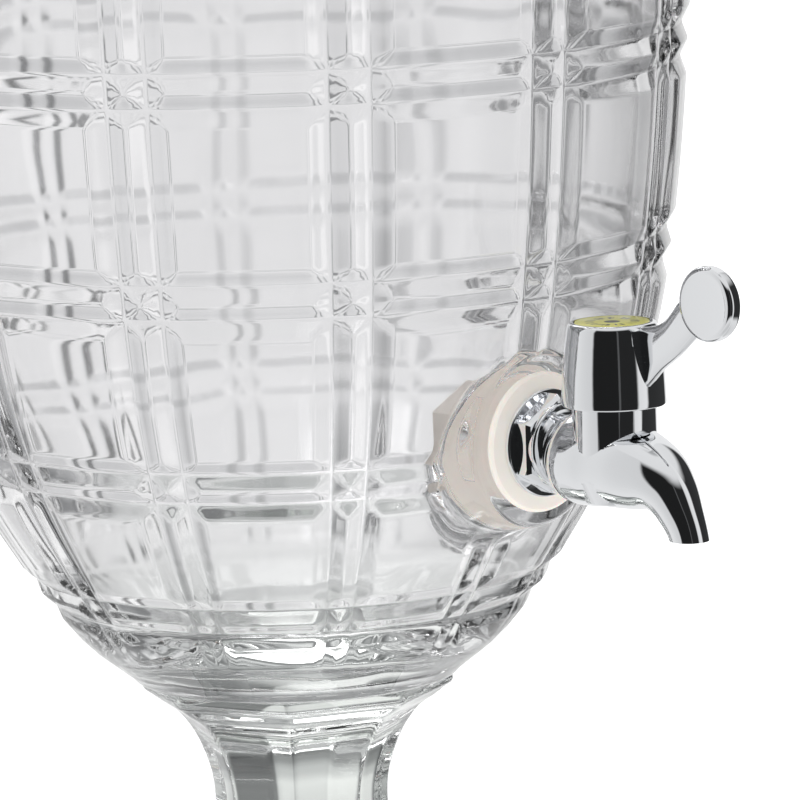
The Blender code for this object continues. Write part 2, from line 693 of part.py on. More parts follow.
def make_handle(chrome, at_axis):
    handle = turned("tap_handle", CAP_OUTLINE, 36, chrome, location=at_axis)
    web = flat_plate("lever_web", lever_outline(), LEVER_THICKNESS)
    paddle_place = (0, -PADDLE_FORWARD, PADDLE_HEIGHT)
    paddle = turned("paddle", PADDLE_OUTLINE, 32, location=paddle_place, rotation=(0, math.pi / 2, 0))
    combine(handle, "UNION", web, paddle)
    hollow = rod("cap_hollow", CAP_HOLLOW_RADIUS, CAP_BOTTOM - CLEAR, CAP_HOLLOW_TOP, 36, location=at_axis)
    socket_size = (4, (STEM_WIDTH / 2 + GAP) * math.sqrt(2), CAP_HOLLOW_TOP - CLEAR, SOCKET_TOP)
    socket = prism("stem_socket", *socket_size, location=at_axis, turn=math.pi / 4)
    label_seat = CAP_TOP - LABEL_THICKNESS - GAP
    seat = rod("label_seat", LABEL_RADIUS + GAP, label_seat, CAP_TOP + CLEAR, 36, location=at_axis)
    head_recess = rod("head_recess", HEAD_RECESS_RADIUS, SCREW_SEAT, CAP_TOP, 24, location=at_axis)
    screw_hole = rod("screw_hole", SCREW_HOLE_RADIUS, CAP_HOLLOW_TOP, CAP_TOP, 16, location=at_axis)
    return combine(handle, "DIFFERENCE", hollow, socket, seat, head_recess, screw_hole)


def make_handle_screw(steel, at_axis):
    seat = SCREW_SEAT + GAP
    top = seat + SCREW_HEAD
    outline = [(0, top), (SCREW_HEAD_RADIUS - SCREW_EDGE, top), (SCREW_HEAD_RADIUS, top - SCREW_EDGE)]
    outline += [(SCREW_HEAD_RADIUS, seat), (SCREW_THREAD_RADIUS, seat)]
    outline += [(SCREW_THREAD_RADIUS, SCREW_TIP + SCREW_EDGE), (SCREW_THREAD_RADIUS - SCREW_EDGE, SCREW_TIP)]
    screw = turned("handle_screw", [*outline, (0, SCREW_TIP)], 20, steel, location=at_axis)
    socket_size = (6, DRIVER_SOCKET_RADIUS, top - DRIVER_SOCKET_DEPTH, top + CLEAR)
    return combine(screw, "DIFFERENCE", prism("driver_socket", *socket_size, location=at_axis))


def make_cap_label(enamel, at_axis):
    bottom = CAP_TOP - LABEL_THICKNESS
    return rod("cap_label", LABEL_RADIUS, bottom, CAP_TOP, 36, surface=enamel, location=at_axis)


def main():
    jar_glass = material("jar_glass", (0.93, 0.95, 0.95), 0.02, transmission=1.0, ior=1.5)
    foot_glass = material("foot_glass", (0.86, 0.88, 0.85), 0.02, transmission=1.0, ior=1.5)
    lid_glass = material("lid_glass", (0.93, 0.95, 0.95), 0.02, transmission=1.0, ior=1.5)
    chrome = material("chrome", (0.80, 0.81, 0.83), 0.06, metallic=1.0)
    handle_chrome = material("handle_chrome", (0.80, 0.81, 0.83), 0.06, metallic=1.0)
    steel = material("steel", (0.55, 0.56, 0.58), 0.3, metallic=1.0)
    silicone = material("silicone", (0.80, 0.74, 0.66), 0.4)
    clear_silicone = material("clear_silicone", (0.85, 0.86, 0.86), 0.35)
    nut_plastic = material("nut_plastic", (0.78, 0.73, 0.66), 0.45)
    rotor_plastic = material("rotor_plastic", (0.85, 0.85, 0.83), 0.4)
    rubber = material("rubber", (0.03, 0.03, 0.03), 0.6)
    enamel = material("enamel", (0.85, 0.80, 0.30), 0.3)

    at_axis = (0, -AXIS_FORWARD, 0)
    make_foot(foot_glass)
    make_jar(jar_glass)
    make_lid(lid_glass)
    make_lid_gasket(clear_silicone)
    make_tap_body(chrome, at_axis)
    make_washers(silicone)
    make_shank_nut(nut_plastic)
    make_rotor(rotor_plastic, at_axis)
    make_seals(rubber, steel, at_axis)
    make_handle(handle_chrome, at_axis)
    make_handle_screw(steel, at_axis)
    make_cap_label(enamel, at_axis)


clear_scene()
DISPENSER = new_collection("beverage_dispenser")
CUTTERS = new_collection("cutters")
main()
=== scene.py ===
"""Looks of a footed cut-glass beverage dispenser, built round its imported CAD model.

Metres, +Z up, origin at the centre of the foot's underside, and the tap points to -Y.
The jar and the foot are one casting to the eye: the two meshes meet in a face that lets everything through.
"""

import math

import bmesh
import bpy
import numpy as np
from mathutils import Matrix, Vector


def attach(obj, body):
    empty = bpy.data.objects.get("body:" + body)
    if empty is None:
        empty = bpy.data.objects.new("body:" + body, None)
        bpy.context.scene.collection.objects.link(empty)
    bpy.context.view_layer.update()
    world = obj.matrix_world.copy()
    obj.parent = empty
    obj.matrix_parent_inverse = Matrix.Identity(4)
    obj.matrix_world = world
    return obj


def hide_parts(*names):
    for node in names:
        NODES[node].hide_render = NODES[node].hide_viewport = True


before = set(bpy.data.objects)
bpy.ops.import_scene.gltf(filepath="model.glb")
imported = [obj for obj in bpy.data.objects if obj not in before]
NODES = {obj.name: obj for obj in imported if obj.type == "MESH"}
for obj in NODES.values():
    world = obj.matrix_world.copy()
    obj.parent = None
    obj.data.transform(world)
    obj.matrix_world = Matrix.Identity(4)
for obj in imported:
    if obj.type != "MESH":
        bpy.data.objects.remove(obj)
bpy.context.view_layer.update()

TURN = 2 * math.pi

# Camera: where it looks from, and how the picture is framed. Angles in degrees.
CAMERA_PLACE = (-1.1058, -1.3386, 0.4640)
CAMERA_AIM = (0.0184, -0.0286, 0.1872)
CAMERA_ROLL = -1.863
CAMERA_LENS = 272.9
CAMERA_AZIMUTH = -39.56  # the room's pattern is laid out from here

# Jar, as (radius, height)
JAR_OUTLINE = (
    (0.0488, 0.1085), (0.0635, 0.1210), (0.0813, 0.1458), (0.0970, 0.1746), (0.1085, 0.2092),
    (0.1151, 0.2500), (0.1193, 0.2980), (0.1206, 0.3300), (0.1180, 0.3560), (0.1085, 0.3750),
    (0.0935, 0.3875), (0.0805, 0.3945),
)
JAR_HEEL = ((0.0482, 0.1078), (0.0474, 0.1070), (0.0465, 0.1067))
JAR_FLOOR = ((0.0462, 0.1243), (0.0410, 0.1234), (0.0330, 0.1230), (0.0200, 0.1228), (0.0080, 0.1227))
JAR_FLOOR_MIDDLE = (0, 0, 0.1227)
JAR_NECK_RADIUS = 0.0790
JAR_NECK_HEIGHTS = (0.3958, 0.3975, 0.4010, 0.4025)
JAR_BEAD_RADIUS = 0.0829
JAR_TOP = 0.4100
JAR_MOUTH_RADIUS = 0.0720
INNER_TOP = 0.4080
WALL = 0.0062

# Cuts: double grooves round the jar and up it, with a row of dimples just above its heel
BAND_HEIGHTS = (0.1345, 0.1767, 0.2306, 0.2892, 0.3477)
BAND_HALF = 0.0098
BAND_DEPTH = 0.0022
FULL_DEPTH_RADIUS = 0.1050
UPRIGHTS = 12
UPRIGHT_HALF = math.radians(5.84)
UPRIGHT_FOOT = (0.1215, 0.1330)  # where the uprights fade in
UPRIGHT_HEAD = (0.3945, 0.3860)  # where they fade out
DIMPLE_HEIGHT = 0.1195
DIMPLE_HALF_HEIGHT = 0.0036
DIMPLE_HALF_ANGLE = math.radians(10.5)
DIMPLE_SHARE = 0.20

# Boss round the tap's hole. Its side is (distance from the tap's axis, distance forward).
TAP_HEIGHT = 0.1860
BOSS_FACE = 0.1080
BOSS_SIDE = (
    (0.0224, 0.1080), (0.0238, 0.1074), (0.0246, 0.1058), (0.0249, 0.1030), (0.0272, 0.0950),
    (0.0300, 0.0880),
)
BOSS_BLEND = 0.007
BOSS_EDGE = (0.0214, 0.0258)  # its face is flat inside the first radius
INNER_FACE = 0.0900
INNER_FACE_RADIUS = 0.0185
INNER_FACE_SLOPE = 3.6
HOLE_RADIUS = 0.0088
HOLE_STEPS = (0.1074, 0.1020, 0.0960, 0.0905)
OUTER_PRESSED_RADIUS = 0.0194
INNER_PRESSED_RADIUS = 0.0173

# Grids of the jar's walls, which turn into rings round the hole
RING_STEP = 0.00062
HOLE_RING = 15
RING_WIDTH = 0.0973  # a ring's distance from the tap's axis over its angle at the jar's axis
HALF_CUTS = (0.045, 0.1, 0.3, 0.44, 0.5, 0.56, 0.8, 0.93, 1.0, 1.07)
BAND_CUTS = (*(-x for x in HALF_CUTS[::-1]), 0.0, *HALF_CUTS)
PANE_CUTS = 3
WALL_ROWS = 52

# Foot, as (radius at its corners, height). It meets the jar at the joint's height.
JOINT_HEIGHT = 0.10635
FOOT_SIDES = 8
FOOT_TURN = math.radians(1.6)
FOOT_CONTACT = 0.0432
FOOT_PROFILE = (
    (0.0408, 0.0992), (0.0353, 0.0953), (0.0298, 0.0872), (0.0258, 0.0745), (0.0264, 0.0600),
    (0.0315, 0.0430), (0.0435, 0.0265), (0.0610, 0.0130), (0.0740, 0.0078),
)

# Tap: its valve's distance forward, then paths of (forward, height, radius)
VALVE_FORWARD = 0.1395
SPOUT_PATH = (
    (0.1290, 0.1836, 0.0131), (0.1340, 0.1835, 0.0128), (0.1390, 0.1833, 0.0122), (0.1475, 0.1828, 0.0115),
    (0.1557, 0.1810, 0.0096), (0.1612, 0.1772, 0.0076), (0.1652, 0.1716, 0.0061), (0.1677, 0.1664, 0.0054),
    (0.1690, 0.1600, 0.0054),
)
PASSAGE_PATH = (
    (0.1375, 0.1766, 0.0034), (0.1490, 0.1766, 0.0034), (0.1560, 0.1778, 0.0034), (0.1610, 0.1758, 0.0034),
    (0.1651, 0.1712, 0.0038), (0.1677, 0.1660, 0.0042), (0.1690, 0.1600, 0.0042),
)
SPOUT_END = 0.1652
THREAD_STEP = 0.00125
# Turns +Z to the tap's axis
ALONG_TAP = Matrix(((1, 0, 0, 0), (0, 0, -1, 0), (0, 1, 0, TAP_HEIGHT), (0, 0, 0, 1)))

# Handle: the cap's side as (radius, height), and the web and the paddle as (forward, height)
CAP_OUTLINE = (
    (0.01280, 0.2187), (0.01326, 0.2159), (0.01402, 0.2090), (0.01436, 0.2015),
)
WEB_UPPER = ((0.1470, 0.2216), (0.1550, 0.2224), (0.1614, 0.2248), (0.1680, 0.2312), (0.1740, 0.2340))
WEB_LOWER = ((0.1470, 0.2046), (0.1520, 0.2046), (0.1594, 0.2108), (0.1666, 0.2158), (0.1762, 0.2240))
WEB_HALF = 0.0018
WEB_ROUNDNESS = 0.62
PADDLE = (0.1781, 0.2305)

# Nut inside the jar: half its width across flats
NUT_HALF = 0.0130

# Lid, as (radius, height)
LID_RIM = (
    (0.0630, 0.3985), (0.0680, 0.3985), (0.0680, 0.4101), (0.0690, 0.4104), (0.0835, 0.4104),
    (0.0848, 0.4112), (0.0850, 0.4122), (0.0846, 0.4131), (0.0836, 0.4136), (0.0824, 0.4142),
)
LID_DOME = (
    (0.0819, 0.4156), (0.0760, 0.4215), (0.0640, 0.4283), (0.0480, 0.4330), (0.0300, 0.4356), (0.0180, 0.4362),
)
LID_KNOB = (
    (0.0112, 0.4366), (0.0102, 0.4380), (0.0101, 0.4415), (0.0140, 0.4462), (0.0187, 0.4519),
    (0.0190, 0.4528), (0.0190, 0.4592), (0.0187, 0.4602), (0.0106, 0.4735), (0.0100, 0.4738), (0, 0.4738),
)
LID_HOLLOW = (
    (0.0630, 0.4060), (0.0620, 0.4150), (0.0560, 0.4218), (0.0420, 0.4268), (0.0220, 0.4294), (0, 0.4299),
)
LID_DOME_FOOT = 0.4142
KNOB_BOTTOM = 0.4375
KNOB_SIDES = 8
FLUTES = 24
FLUTE_HALF = math.radians(4.2)
FLUTE_DEPTH = 0.0011
FLUTE_ENDS = (0.0125, 0.030)  # radii between which they fade in
FLUTE_HEIGHTS = (0.4140, 0.4170)  # heights between which they fade in
SMALLEST_RADIUS = 1e-5

# The room, as (degrees to the camera's left, brightness) and (degrees up, brightness).
# Mirrored is what reflections show, and seen is what shows through glass and lights everything else.
MIRRORED = (
    (-180, 0.9), (-152, 0.9), (-143, 0.04), (-80, 0.03), (-73, 0.85), (-55, 0.80), (-48, 0.02), (-12.5, 0.02),
    (-11.5, 0.10), (-8.5, 0.10), (-7.5, 0.015), (48, 0.015), (54, 0.70), (112, 0.85), (124, 0.35), (150, 0.85),
    (180, 0.9),
)
MIRRORED_LOW = ((-90, 0.75), (-60, 0.62), (-38, 0.80), (-26, 0.0), (90, 0.0))
MIRRORED_HIGH = ((-90, 0.0), (34, 0.0), (50, 0.80), (76, 0.82), (84, 0.45), (90, 0.4))
SEEN = (
    (-180, 0.88), (-171, 0.78), (-160, 0.24), (-150, 0.20), (-140, 0.75), (-125, 0.90), (-110, 0.60),
    (-80, 0.64), (-40, 0.60), (-20, 0.62), (0, 0.66), (20, 0.60), (40, 0.42), (60, 0.58), (104, 0.55),
    (122, 0.26), (138, 0.42), (148, 1.02), (160, 1.02), (170, 0.86), (180, 0.88),
)
SEEN_HEIGHTS = (
    (-90, 0.65), (-45, 0.70), (-34, 0.95), (-22, 0.98), (-13, 0.95), (0, 1.0), (9, 0.70), (17, 0.36),
    (27, 0.30), (38, 0.50), (50, 1.0), (90, 0.95),
)
# Name, place, size and watts
LIGHTS = (("key", (-1.1, -0.2, 1.7), 1.0, 14), ("fill", (0.8, 1.2, 1.6), 1.2, 10))
LIGHTS_AIM = (0, 0, 0.25)
FLOOR_HALF = 30
GLASS_BOUNCES = 24


# Meshes


def smooth_points(points, per_span):
    """A Catmull-Rom curve through the points."""
    known = np.array(points, float)
    padded = np.vstack([2 * known[0] - known[1], known, 2 * known[-1] - known[-2]])
    found = []
    for i in range(len(known) - 1):
        before, start, end, after = padded[i : i + 4]
        for t in np.arange(per_span) / per_span:
            slope = 2 * before - 5 * start + 4 * end - after
            bend = 3 * start - before - 3 * end + after
            found.append(start + (t * (end - before) + t**2 * slope + t**3 * bend) / 2)
    return np.array(found + [known[-1]])


def smooth_max(a, b, width):
    h = np.clip(width - np.abs(a - b), 0, None) / width
    return np.maximum(a, b) + h * h * width / 4


def smooth_step(low, high, x):
    t = np.clip((x - low) / (high - low), 0, 1)
    return t * t * (3 - 2 * t)


def soft_abs(x, width):
    return np.sqrt(x * x + width * width)


def arc(centre, radius, start, end, count):
    angles = np.radians(np.linspace(start, end, count))
    return [(centre[0] + radius * math.cos(a), centre[1] + radius * math.sin(a)) for a in angles]


def new_object(name, points, faces, materials, slots=None, sharp=None, merge=1e-7):
    """An object from points and faces, all facing out, shaded smooth except past the sharp angle."""
    made = bmesh.new()
    verts = [made.verts.new(p) for p in points]
    for k, face in enumerate(faces):
        corners = [verts[i] for i in dict.fromkeys(face)]
        if len(corners) > 2:
            f = made.faces.new(corners)
            f.smooth = True
            f.material_index = slots[k] if slots is not None else 0
    bmesh.ops.remove_doubles(made, verts=made.verts, dist=merge)
    bmesh.ops.recalc_face_normals(made, faces=made.faces)
    mesh = bpy.data.meshes.new(name)
    made.to_mesh(mesh)
    made.free()
    if sharp:
        mesh.set_sharp_from_angle(angle=math.radians(sharp))
    obj = bpy.data.objects.new(name, mesh)
    bpy.context.scene.collection.objects.link(obj)
    for m in materials:
        mesh.materials.append(m)
    return obj


def round_points(radius, angles, height):
    """Points round the Z axis. Angle 0 is the tap's side, -Y."""
    level = height * np.ones(len(angles))
    return np.stack([radius * np.sin(angles), -radius * np.cos(angles), level], axis=1)


def grid_faces(rows, columns, start=0, skip=None):
    """Quads of a grid of points, stored row by row, that closes round its columns."""
    faces = []
    for j in range(rows - 1):
        for i in range(columns):
            if skip is not None and skip(j, i):
                continue
            a = start + j * columns + i
            b = start + j * columns + (i + 1) % columns
            faces.append((a, b, b + columns, a + columns))
    return faces


def revolve(name, profile, material, columns=96, shape=None, sharp=35, axis=None):
    """Turns a profile of (radius, height). shape(angles, radius) may change a row's radii."""
    angles = np.arange(columns) * TURN / columns
    points = []
    for radius, height in profile:
        row = shape(angles, radius) if shape else radius
        points += round_points(row, angles, height).tolist()
    obj = new_object(name, points, grid_faces(len(profile), columns), [material], sharp=sharp)
    if axis is not None:
        obj.matrix_world = axis
    return obj


def polygon_share(angles, sides, turn, crisp):
    """The radius of a polygon with rounded corners, as a share of its corner radius."""
    total = 0
    for k in range(sides):
        total = total + np.clip(np.cos(angles - turn - TURN * (k + 0.5) / sides), 0, 1) ** crisp
    return math.cos(math.pi / sides) / total ** (1 / crisp)


def join_shapes(obj, operation, others):
    """Applies Booleans with the other objects, and removes them."""
    for other in others:
        step = obj.modifiers.new("join", "BOOLEAN")
        step.operation = operation
        step.object = other
        step.solver = "EXACT"
    bpy.context.view_layer.update()
    evaluated = obj.evaluated_get(bpy.context.evaluated_depsgraph_get())
    mesh = bpy.data.meshes.new_from_object(evaluated)
    obj.modifiers.clear()
    obj.data = mesh
    for other in others:
        bpy.data.objects.remove(other)
    return obj


class Shell:
    """The points, faces and material slots of one mesh while it is put together."""

    def __init__(self):
        self.points, self.faces, self.slots = [], [], []

    def add_points(self, points):
        """Adds points, and returns the first one's number."""
        start = len(self.points)
        self.points += np.reshape(points, (-1, 3)).tolist()
        return start

    def add_faces(self, faces, slot=0):
        self.faces += faces
        self.slots += [slot] * len(faces)

    def join_rings(self, first, second):
        """Quads between two rings of point numbers."""
        ahead = [(i, (i + 1) % len(first)) for i in range(len(first))]
        self.add_faces([(first[i], first[j], second[j], second[i]) for i, j in ahead])

    def add_rows(self, profile, angles, previous, share=1.0):
        """Rows of points at (radius, height) that carry on from the row that starts at previous."""
        count = len(angles)
        for radius, height in profile:
            start = self.add_points(round_points(radius * share, angles, height))
            self.join_rings(range(previous, previous + count), range(start, start + count))
            previous = start
        return previous

    def close(self, start, count, middle, slot=0):
        """Triangles from a row of points to one new point in its middle."""
        tip = self.add_points(middle)
        self.add_faces([(start + i, start + (i + 1) % count, tip) for i in range(count)], slot)

    def stitch(self, start_a, angles_a, start_b, angles_b):
        """Triangles between two rows with different columns. Both begin at about the same angle."""
        a, b = np.unwrap(angles_a), np.unwrap(angles_b)
        a, b = a - a[0], b - b[0]
        i = j = 0
        n, m = len(a), len(b)
        while i < n or j < m:
            next_a = a[i + 1] if i + 1 < n else TURN
            next_b = b[j + 1] if j + 1 < m else TURN
            if j >= m or (i < n and next_a <= next_b):
                face = (start_a + i % n, start_a + (i + 1) % n, start_b + j % m)
                i += 1
            else:
                face = (start_a + i % n, start_b + (j + 1) % m, start_b + j % m)
                j += 1
            self.add_faces([face])


# Materials


def add_node(tree, kind, inputs=(), **settings):
    """A node with these settings. Each input is a value, or a socket that is linked to it."""
    node = tree.nodes.new(kind)
    for key, value in settings.items():
        setattr(node, key, value)
    for key, value in dict(inputs).items():
        if isinstance(value, bpy.types.NodeSocket):
            tree.links.new(value, node.inputs[key])
        else:
            node.inputs[key].default_value = value
    return node


class Nodes:
    """A material's node tree with its Principled shader."""

    def __init__(self, name, colour, roughness, **sockets):
        self.material = bpy.data.materials.new(name)
        self.material.use_nodes = True
        self.tree = self.material.node_tree
        self.shader = self.tree.nodes["Principled BSDF"]
        self.set(base_color=(*colour, 1), roughness=roughness, **sockets)
        self.place = self.add("ShaderNodeTexCoord").outputs["Object"]

    def set(self, **sockets):
        for key, value in sockets.items():
            self.shader.inputs[key.replace("_", " ").title().replace("Ior", "IOR")].default_value = value

    def add(self, kind, inputs=(), **settings):
        return add_node(self.tree, kind, inputs, **settings)

    def noise(self, scale, detail=2.0, roughness=0.5, stretch=None):
        place = self.place
        if stretch:
            place = self.add("ShaderNodeMapping", {"Vector": place, "Scale": stretch}).outputs[0]
        made = {"Vector": place, "Scale": scale, "Detail": detail, "Roughness": roughness}
        return self.add("ShaderNodeTexNoise", made).outputs["Fac"]

    def ramp(self, factor, low, high, start=0.0, end=1.0):
        """A value that goes from low to high as the factor goes from start to end."""
        made = {"Value": factor, "From Min": start, "From Max": end, "To Min": low, "To Max": high}
        return self.add("ShaderNodeMapRange", made).outputs[0]

    def mix(self, factor, a, b):
        """A colour that goes from a to b as the factor goes from 0 to 1."""
        made = {0: factor, 6: (*a, 1), 7: (*b, 1)}
        return self.add("ShaderNodeMix", made, data_type="RGBA").outputs[2]

    def math(self, operation, a, b):
        return self.add("ShaderNodeMath", {0: a, 1: b}, operation=operation).outputs[0]

    def height(self):
        return self.add("ShaderNodeSeparateXYZ", {"Vector": self.place}).outputs["Z"]

    def link(self, socket, name):
        """Links a socket to the shader's input of this name."""
        self.tree.links.new(socket, self.shader.inputs[name])

    def bump(self, height, strength, distance):
        made = {"Height": height, "Strength": strength, "Distance": distance}
        self.link(self.add("ShaderNodeBump", made).outputs[0], "Normal")


def glass(name, tint, low_tint=None, ripple=0.1, roughness=0.0):
    """Clear glass with a slight ripple. A low tint shows below the heights of the ramp."""
    made = Nodes(name, tint, roughness, transmission_weight=1.0, ior=1.52)
    if low_tint:
        height = made.ramp(made.height(), 0.0, 1.0, 0.06, 0.16)
        made.link(made.mix(height, low_tint, tint), "Base Color")
    made.bump(made.noise(28.0, 1.0, 0.4), ripple, 0.001)
    return made.material


def chrome(name):
    made = Nodes(name, (0.86, 0.87, 0.885), 0.03, metallic=1.0)
    made.link(made.ramp(made.noise(900.0, 3.0), 0.02, 0.06, 0.35, 0.7), "Roughness")
    made.bump(made.noise(170.0, 2.0), 0.02, 0.0006)
    return made.material


def silicone(name, colour, shade, glow=0.0):
    """Cloudy silicone. The glow stands in for light that comes through it."""
    made = Nodes(name, colour, 0.35, subsurface_weight=0.6, subsurface_scale=0.004, ior=1.41)
    made.set(emission_color=(0.97, 0.93, 0.86, 1), emission_strength=glow)
    made.link(made.mix(made.ramp(made.noise(160.0, 3.0), 0.0, 1.0, 0.3, 0.7), colour, shade), "Base Color")
    made.bump(made.noise(1400.0, 3.0), 0.05, 0.0003)
    return made.material


def plastic(name, colour, shade, roughness, glow=0.0):
    made = Nodes(name, colour, roughness)
    # The glow is painted light: the plastic gives off light of its own colour, though it is no lamp.
    made.set(emission_color=(*colour, 1), emission_strength=glow)
    made.link(made.mix(made.ramp(made.noise(300.0, 4.0), 0.0, 1.0, 0.3, 0.7), colour, shade), "Base Color")
    made.link(made.ramp(made.noise(700.0, 2.0), roughness - 0.05, roughness + 0.1), "Roughness")
    made.bump(made.noise(2000.0, 2.0), 0.08, 0.0002)
    return made.material


def steel(name):
    made = Nodes(name, (0.56, 0.57, 0.58), 0.3, metallic=1.0)
    turned = made.noise(60.0, 4.0, 0.6, (1.0, 1.0, 40.0))
    made.link(made.ramp(turned, 0.2, 0.42), "Roughness")
    made.bump(turned, 0.15, 0.0002)
    return made.material


def badge(name, colour, ink):
    """A yellow disc with a printed ring of dark dashes round its middle, which spell nothing."""
    made = Nodes(name, colour, 0.3, coat_weight=0.5)
    flat = made.add("ShaderNodeVectorMath", {0: made.place, 1: (1, 1, 0)}, operation="MULTIPLY").outputs[0]
    parts = made.add("ShaderNodeSeparateXYZ", {"Vector": flat}).outputs
    radius = made.add("ShaderNodeVectorMath", {0: flat}, operation="LENGTH").outputs["Value"]
    angle = made.math("ARCTAN2", parts["Y"], parts["X"])
    noise = {"W": angle, "Scale": 5.0, "Detail": 2.0}
    dashes = made.add("ShaderNodeTexNoise", noise, noise_dimensions="1D").outputs["Fac"]
    printed = made.ramp(dashes, 0.0, 1.0, 0.50, 0.54)
    inside = made.ramp(radius, 1.0, 0.0, 0.0074, 0.0076)
    outside = made.ramp(radius, 0.0, 1.0, 0.0050, 0.0052)
    middle = made.ramp(radius, 1.0, 0.0, 0.0021, 0.0023)
    ring = made.math("MULTIPLY", made.math("MULTIPLY", inside, outside), printed)
    marks = made.math("MAXIMUM", ring, middle)
    made.link(made.mix(marks, colour, ink), "Base Color")
    made.link(made.ramp(made.noise(900.0, 3.0), 0.22, 0.4), "Roughness")
    made.bump(marks, 0.1, 0.0001)
    return made.material


def see_through(name):
    """For the face in which the jar and the foot meet, which isn't there in fused glass."""
    return Nodes(name, (1, 1, 1), 0.0, alpha=0.0).material


CLEAR = (0.988, 0.985, 0.990)
GREENISH = (0.875, 0.905, 0.875)
JAR_GLASS = glass("jar_glass", CLEAR, GREENISH, 0.2)
INNER_GLASS = glass("inner_glass", CLEAR, (0.955, 0.965, 0.955), 0.3, 0.075)
FOOT_GLASS = glass("foot_glass", GREENISH, None, 0.3)
LID_GLASS = glass("lid_glass", CLEAR)
JOINT_FACE = see_through("joint_face")
CHROME = chrome("tap_chrome")
HANDLE_CHROME = chrome("handle_chrome")
BEIGE = silicone("washer_silicone", (0.64, 0.62, 0.575), (0.60, 0.58, 0.535), 0.38)
CLEAR_SILICONE = silicone("gasket_silicone", (0.80, 0.82, 0.82), (0.74, 0.76, 0.77))
# The nut glows with painted light, which stands in for the light that the glass round it keeps from it.
NUT_PLASTIC = plastic("nut_plastic", (0.86, 0.80, 0.74), (0.82, 0.75, 0.68), 0.4, 0.2)
ROTOR_PLASTIC = plastic("rotor_plastic", (0.86, 0.86, 0.84), (0.80, 0.80, 0.78), 0.35)
RUBBER = plastic("rubber", (0.025, 0.025, 0.027), (0.04, 0.04, 0.042), 0.55)
STEEL = steel("screw_steel")
YELLOW = badge("badge_print", (0.88, 0.84, 0.16), (0.03, 0.028, 0.022))


# Jar

WALL_CURVE = smooth_points(JAR_OUTLINE, 24)
WALL_ALONG = np.gradient(WALL_CURVE, axis=0)
WALL_ALONG /= np.linalg.norm(WALL_ALONG, axis=1)[:, None]
WALL_LENGTH = np.concatenate([[0], np.cumsum(np.linalg.norm(np.diff(WALL_CURVE, axis=0), axis=1))])


def wall_at(height):
    """The wall's radius, its outward normal as (radial, upward), and the length up the wall, by height."""
    z = WALL_CURVE[:, 1]
    normal_r = np.interp(height, z, WALL_ALONG[:, 1])
    normal_z = np.interp(height, z, -WALL_ALONG[:, 0])
    return np.interp(height, z, WALL_CURVE[:, 0]), normal_r, normal_z, np.interp(height, z, WALL_LENGTH)


def double_groove(across, soft=0.045):
    """The depth, from 0 to 1, of two V grooves side by side that fill -1 to 1."""
    x = np.clip(across, -1.5, 1.5)
    depth = 1 - soft_abs(2 * soft_abs(x, soft) - 1, soft)
    return (depth + np.sqrt(depth * depth + 4 * soft * soft)) / 2 - soft * soft * 3


def cut_depth(angle, height):
    """How deep the cuts are in the wall, in metres along its normal."""
    radius, _, _, length = wall_at(height)
    scale = BAND_DEPTH * np.clip(radius / FULL_DEPTH_RADIUS, 0, 1)
    sector = TURN / UPRIGHTS
    offset = (angle + sector / 2) % sector - sector / 2
    upright = double_groove(offset / UPRIGHT_HALF)
    upright = upright * smooth_step(*UPRIGHT_HEAD, height) * smooth_step(*UPRIGHT_FOOT, height)
    beside = (angle % sector - sector / 2) / DIMPLE_HALF_ANGLE
    above = (height - DIMPLE_HEIGHT) / DIMPLE_HALF_HEIGHT
    dimple = DIMPLE_SHARE * np.exp(-(beside**2) * 2 - above**2)
    round_bands = np.zeros_like(height)
    for band in BAND_HEIGHTS:
        across = (length - wall_at(band)[3]) / BAND_HALF
        round_bands = np.maximum(round_bands, double_groove(across))
    return scale * (smooth_max(upright, round_bands, 0.08) + dimple)


def ring_sizes(fine, step, coarse, circles):
    """Each ring's distance in the grid, and the radius of the circle that it becomes.

    Circles are (rings past the hole's edge, radius). The last ring keeps its distance.
    """
    nominal = RING_STEP * np.arange(fine)
    nominal = np.concatenate([nominal, nominal[-1] + step * np.arange(1, coarse + 1)])
    keys = [(0, 0), (HOLE_RING, HOLE_RADIUS), *((HOLE_RING + k, r) for k, r in circles)]
    keys.append((len(nominal) - 1, nominal[-1]))
    return nominal, np.interp(np.arange(len(nominal)), *zip(*keys))


def ring_places(angle_at, height_at, radius_of, rings):
    """Bends a grid's lines near the tap into circles round its axis.

    Returns angles, heights and distances from the axis, which are 1 where nothing is bent.
    """
    nominal, radii = rings
    u = angle_at * RING_WIDTH
    v = height_at - TAP_HEIGHT
    reach = nominal[-1]
    square = np.maximum(np.abs(u), np.abs(v))
    inside = square < reach * 0.9999
    rho = np.interp(square, nominal, radii)
    length = np.maximum(np.hypot(u, v), 1e-9)
    round_u, round_v = u / length * rho, v / length * rho
    square_u, square_v = (side * rho / np.maximum(square, 1e-9) for side in (u, v))
    share = 1 - smooth_step(0.62 * reach, reach, square)
    new_u = square_u + share * (round_u - square_u)
    new_v = square_v + share * (round_v - square_v)
    heights = np.where(inside, TAP_HEIGHT + new_v, height_at)
    flat = np.arcsin(np.clip(new_u / radius_of(heights), -1, 1))
    bent = new_u / RING_WIDTH + share * (flat - new_u / RING_WIDTH)
    angles = np.where(inside, bent, angle_at)
    return angles, heights, np.where(inside, np.hypot(new_u, new_v), 1.0)


def bent_grid(columns, rows, radius_of, rings):
    """A wall's angles, heights and distances from the tap's axis, and whether each point is near the tap."""
    angle, height = np.meshgrid(columns, rows)
    wrapped = (angle + math.pi) % TURN - math.pi
    angles, heights, rho = ring_places(wrapped, height, radius_of, rings)
    return angles, heights, rho, (rho < 0.9) & (np.abs(wrapped) < 1)


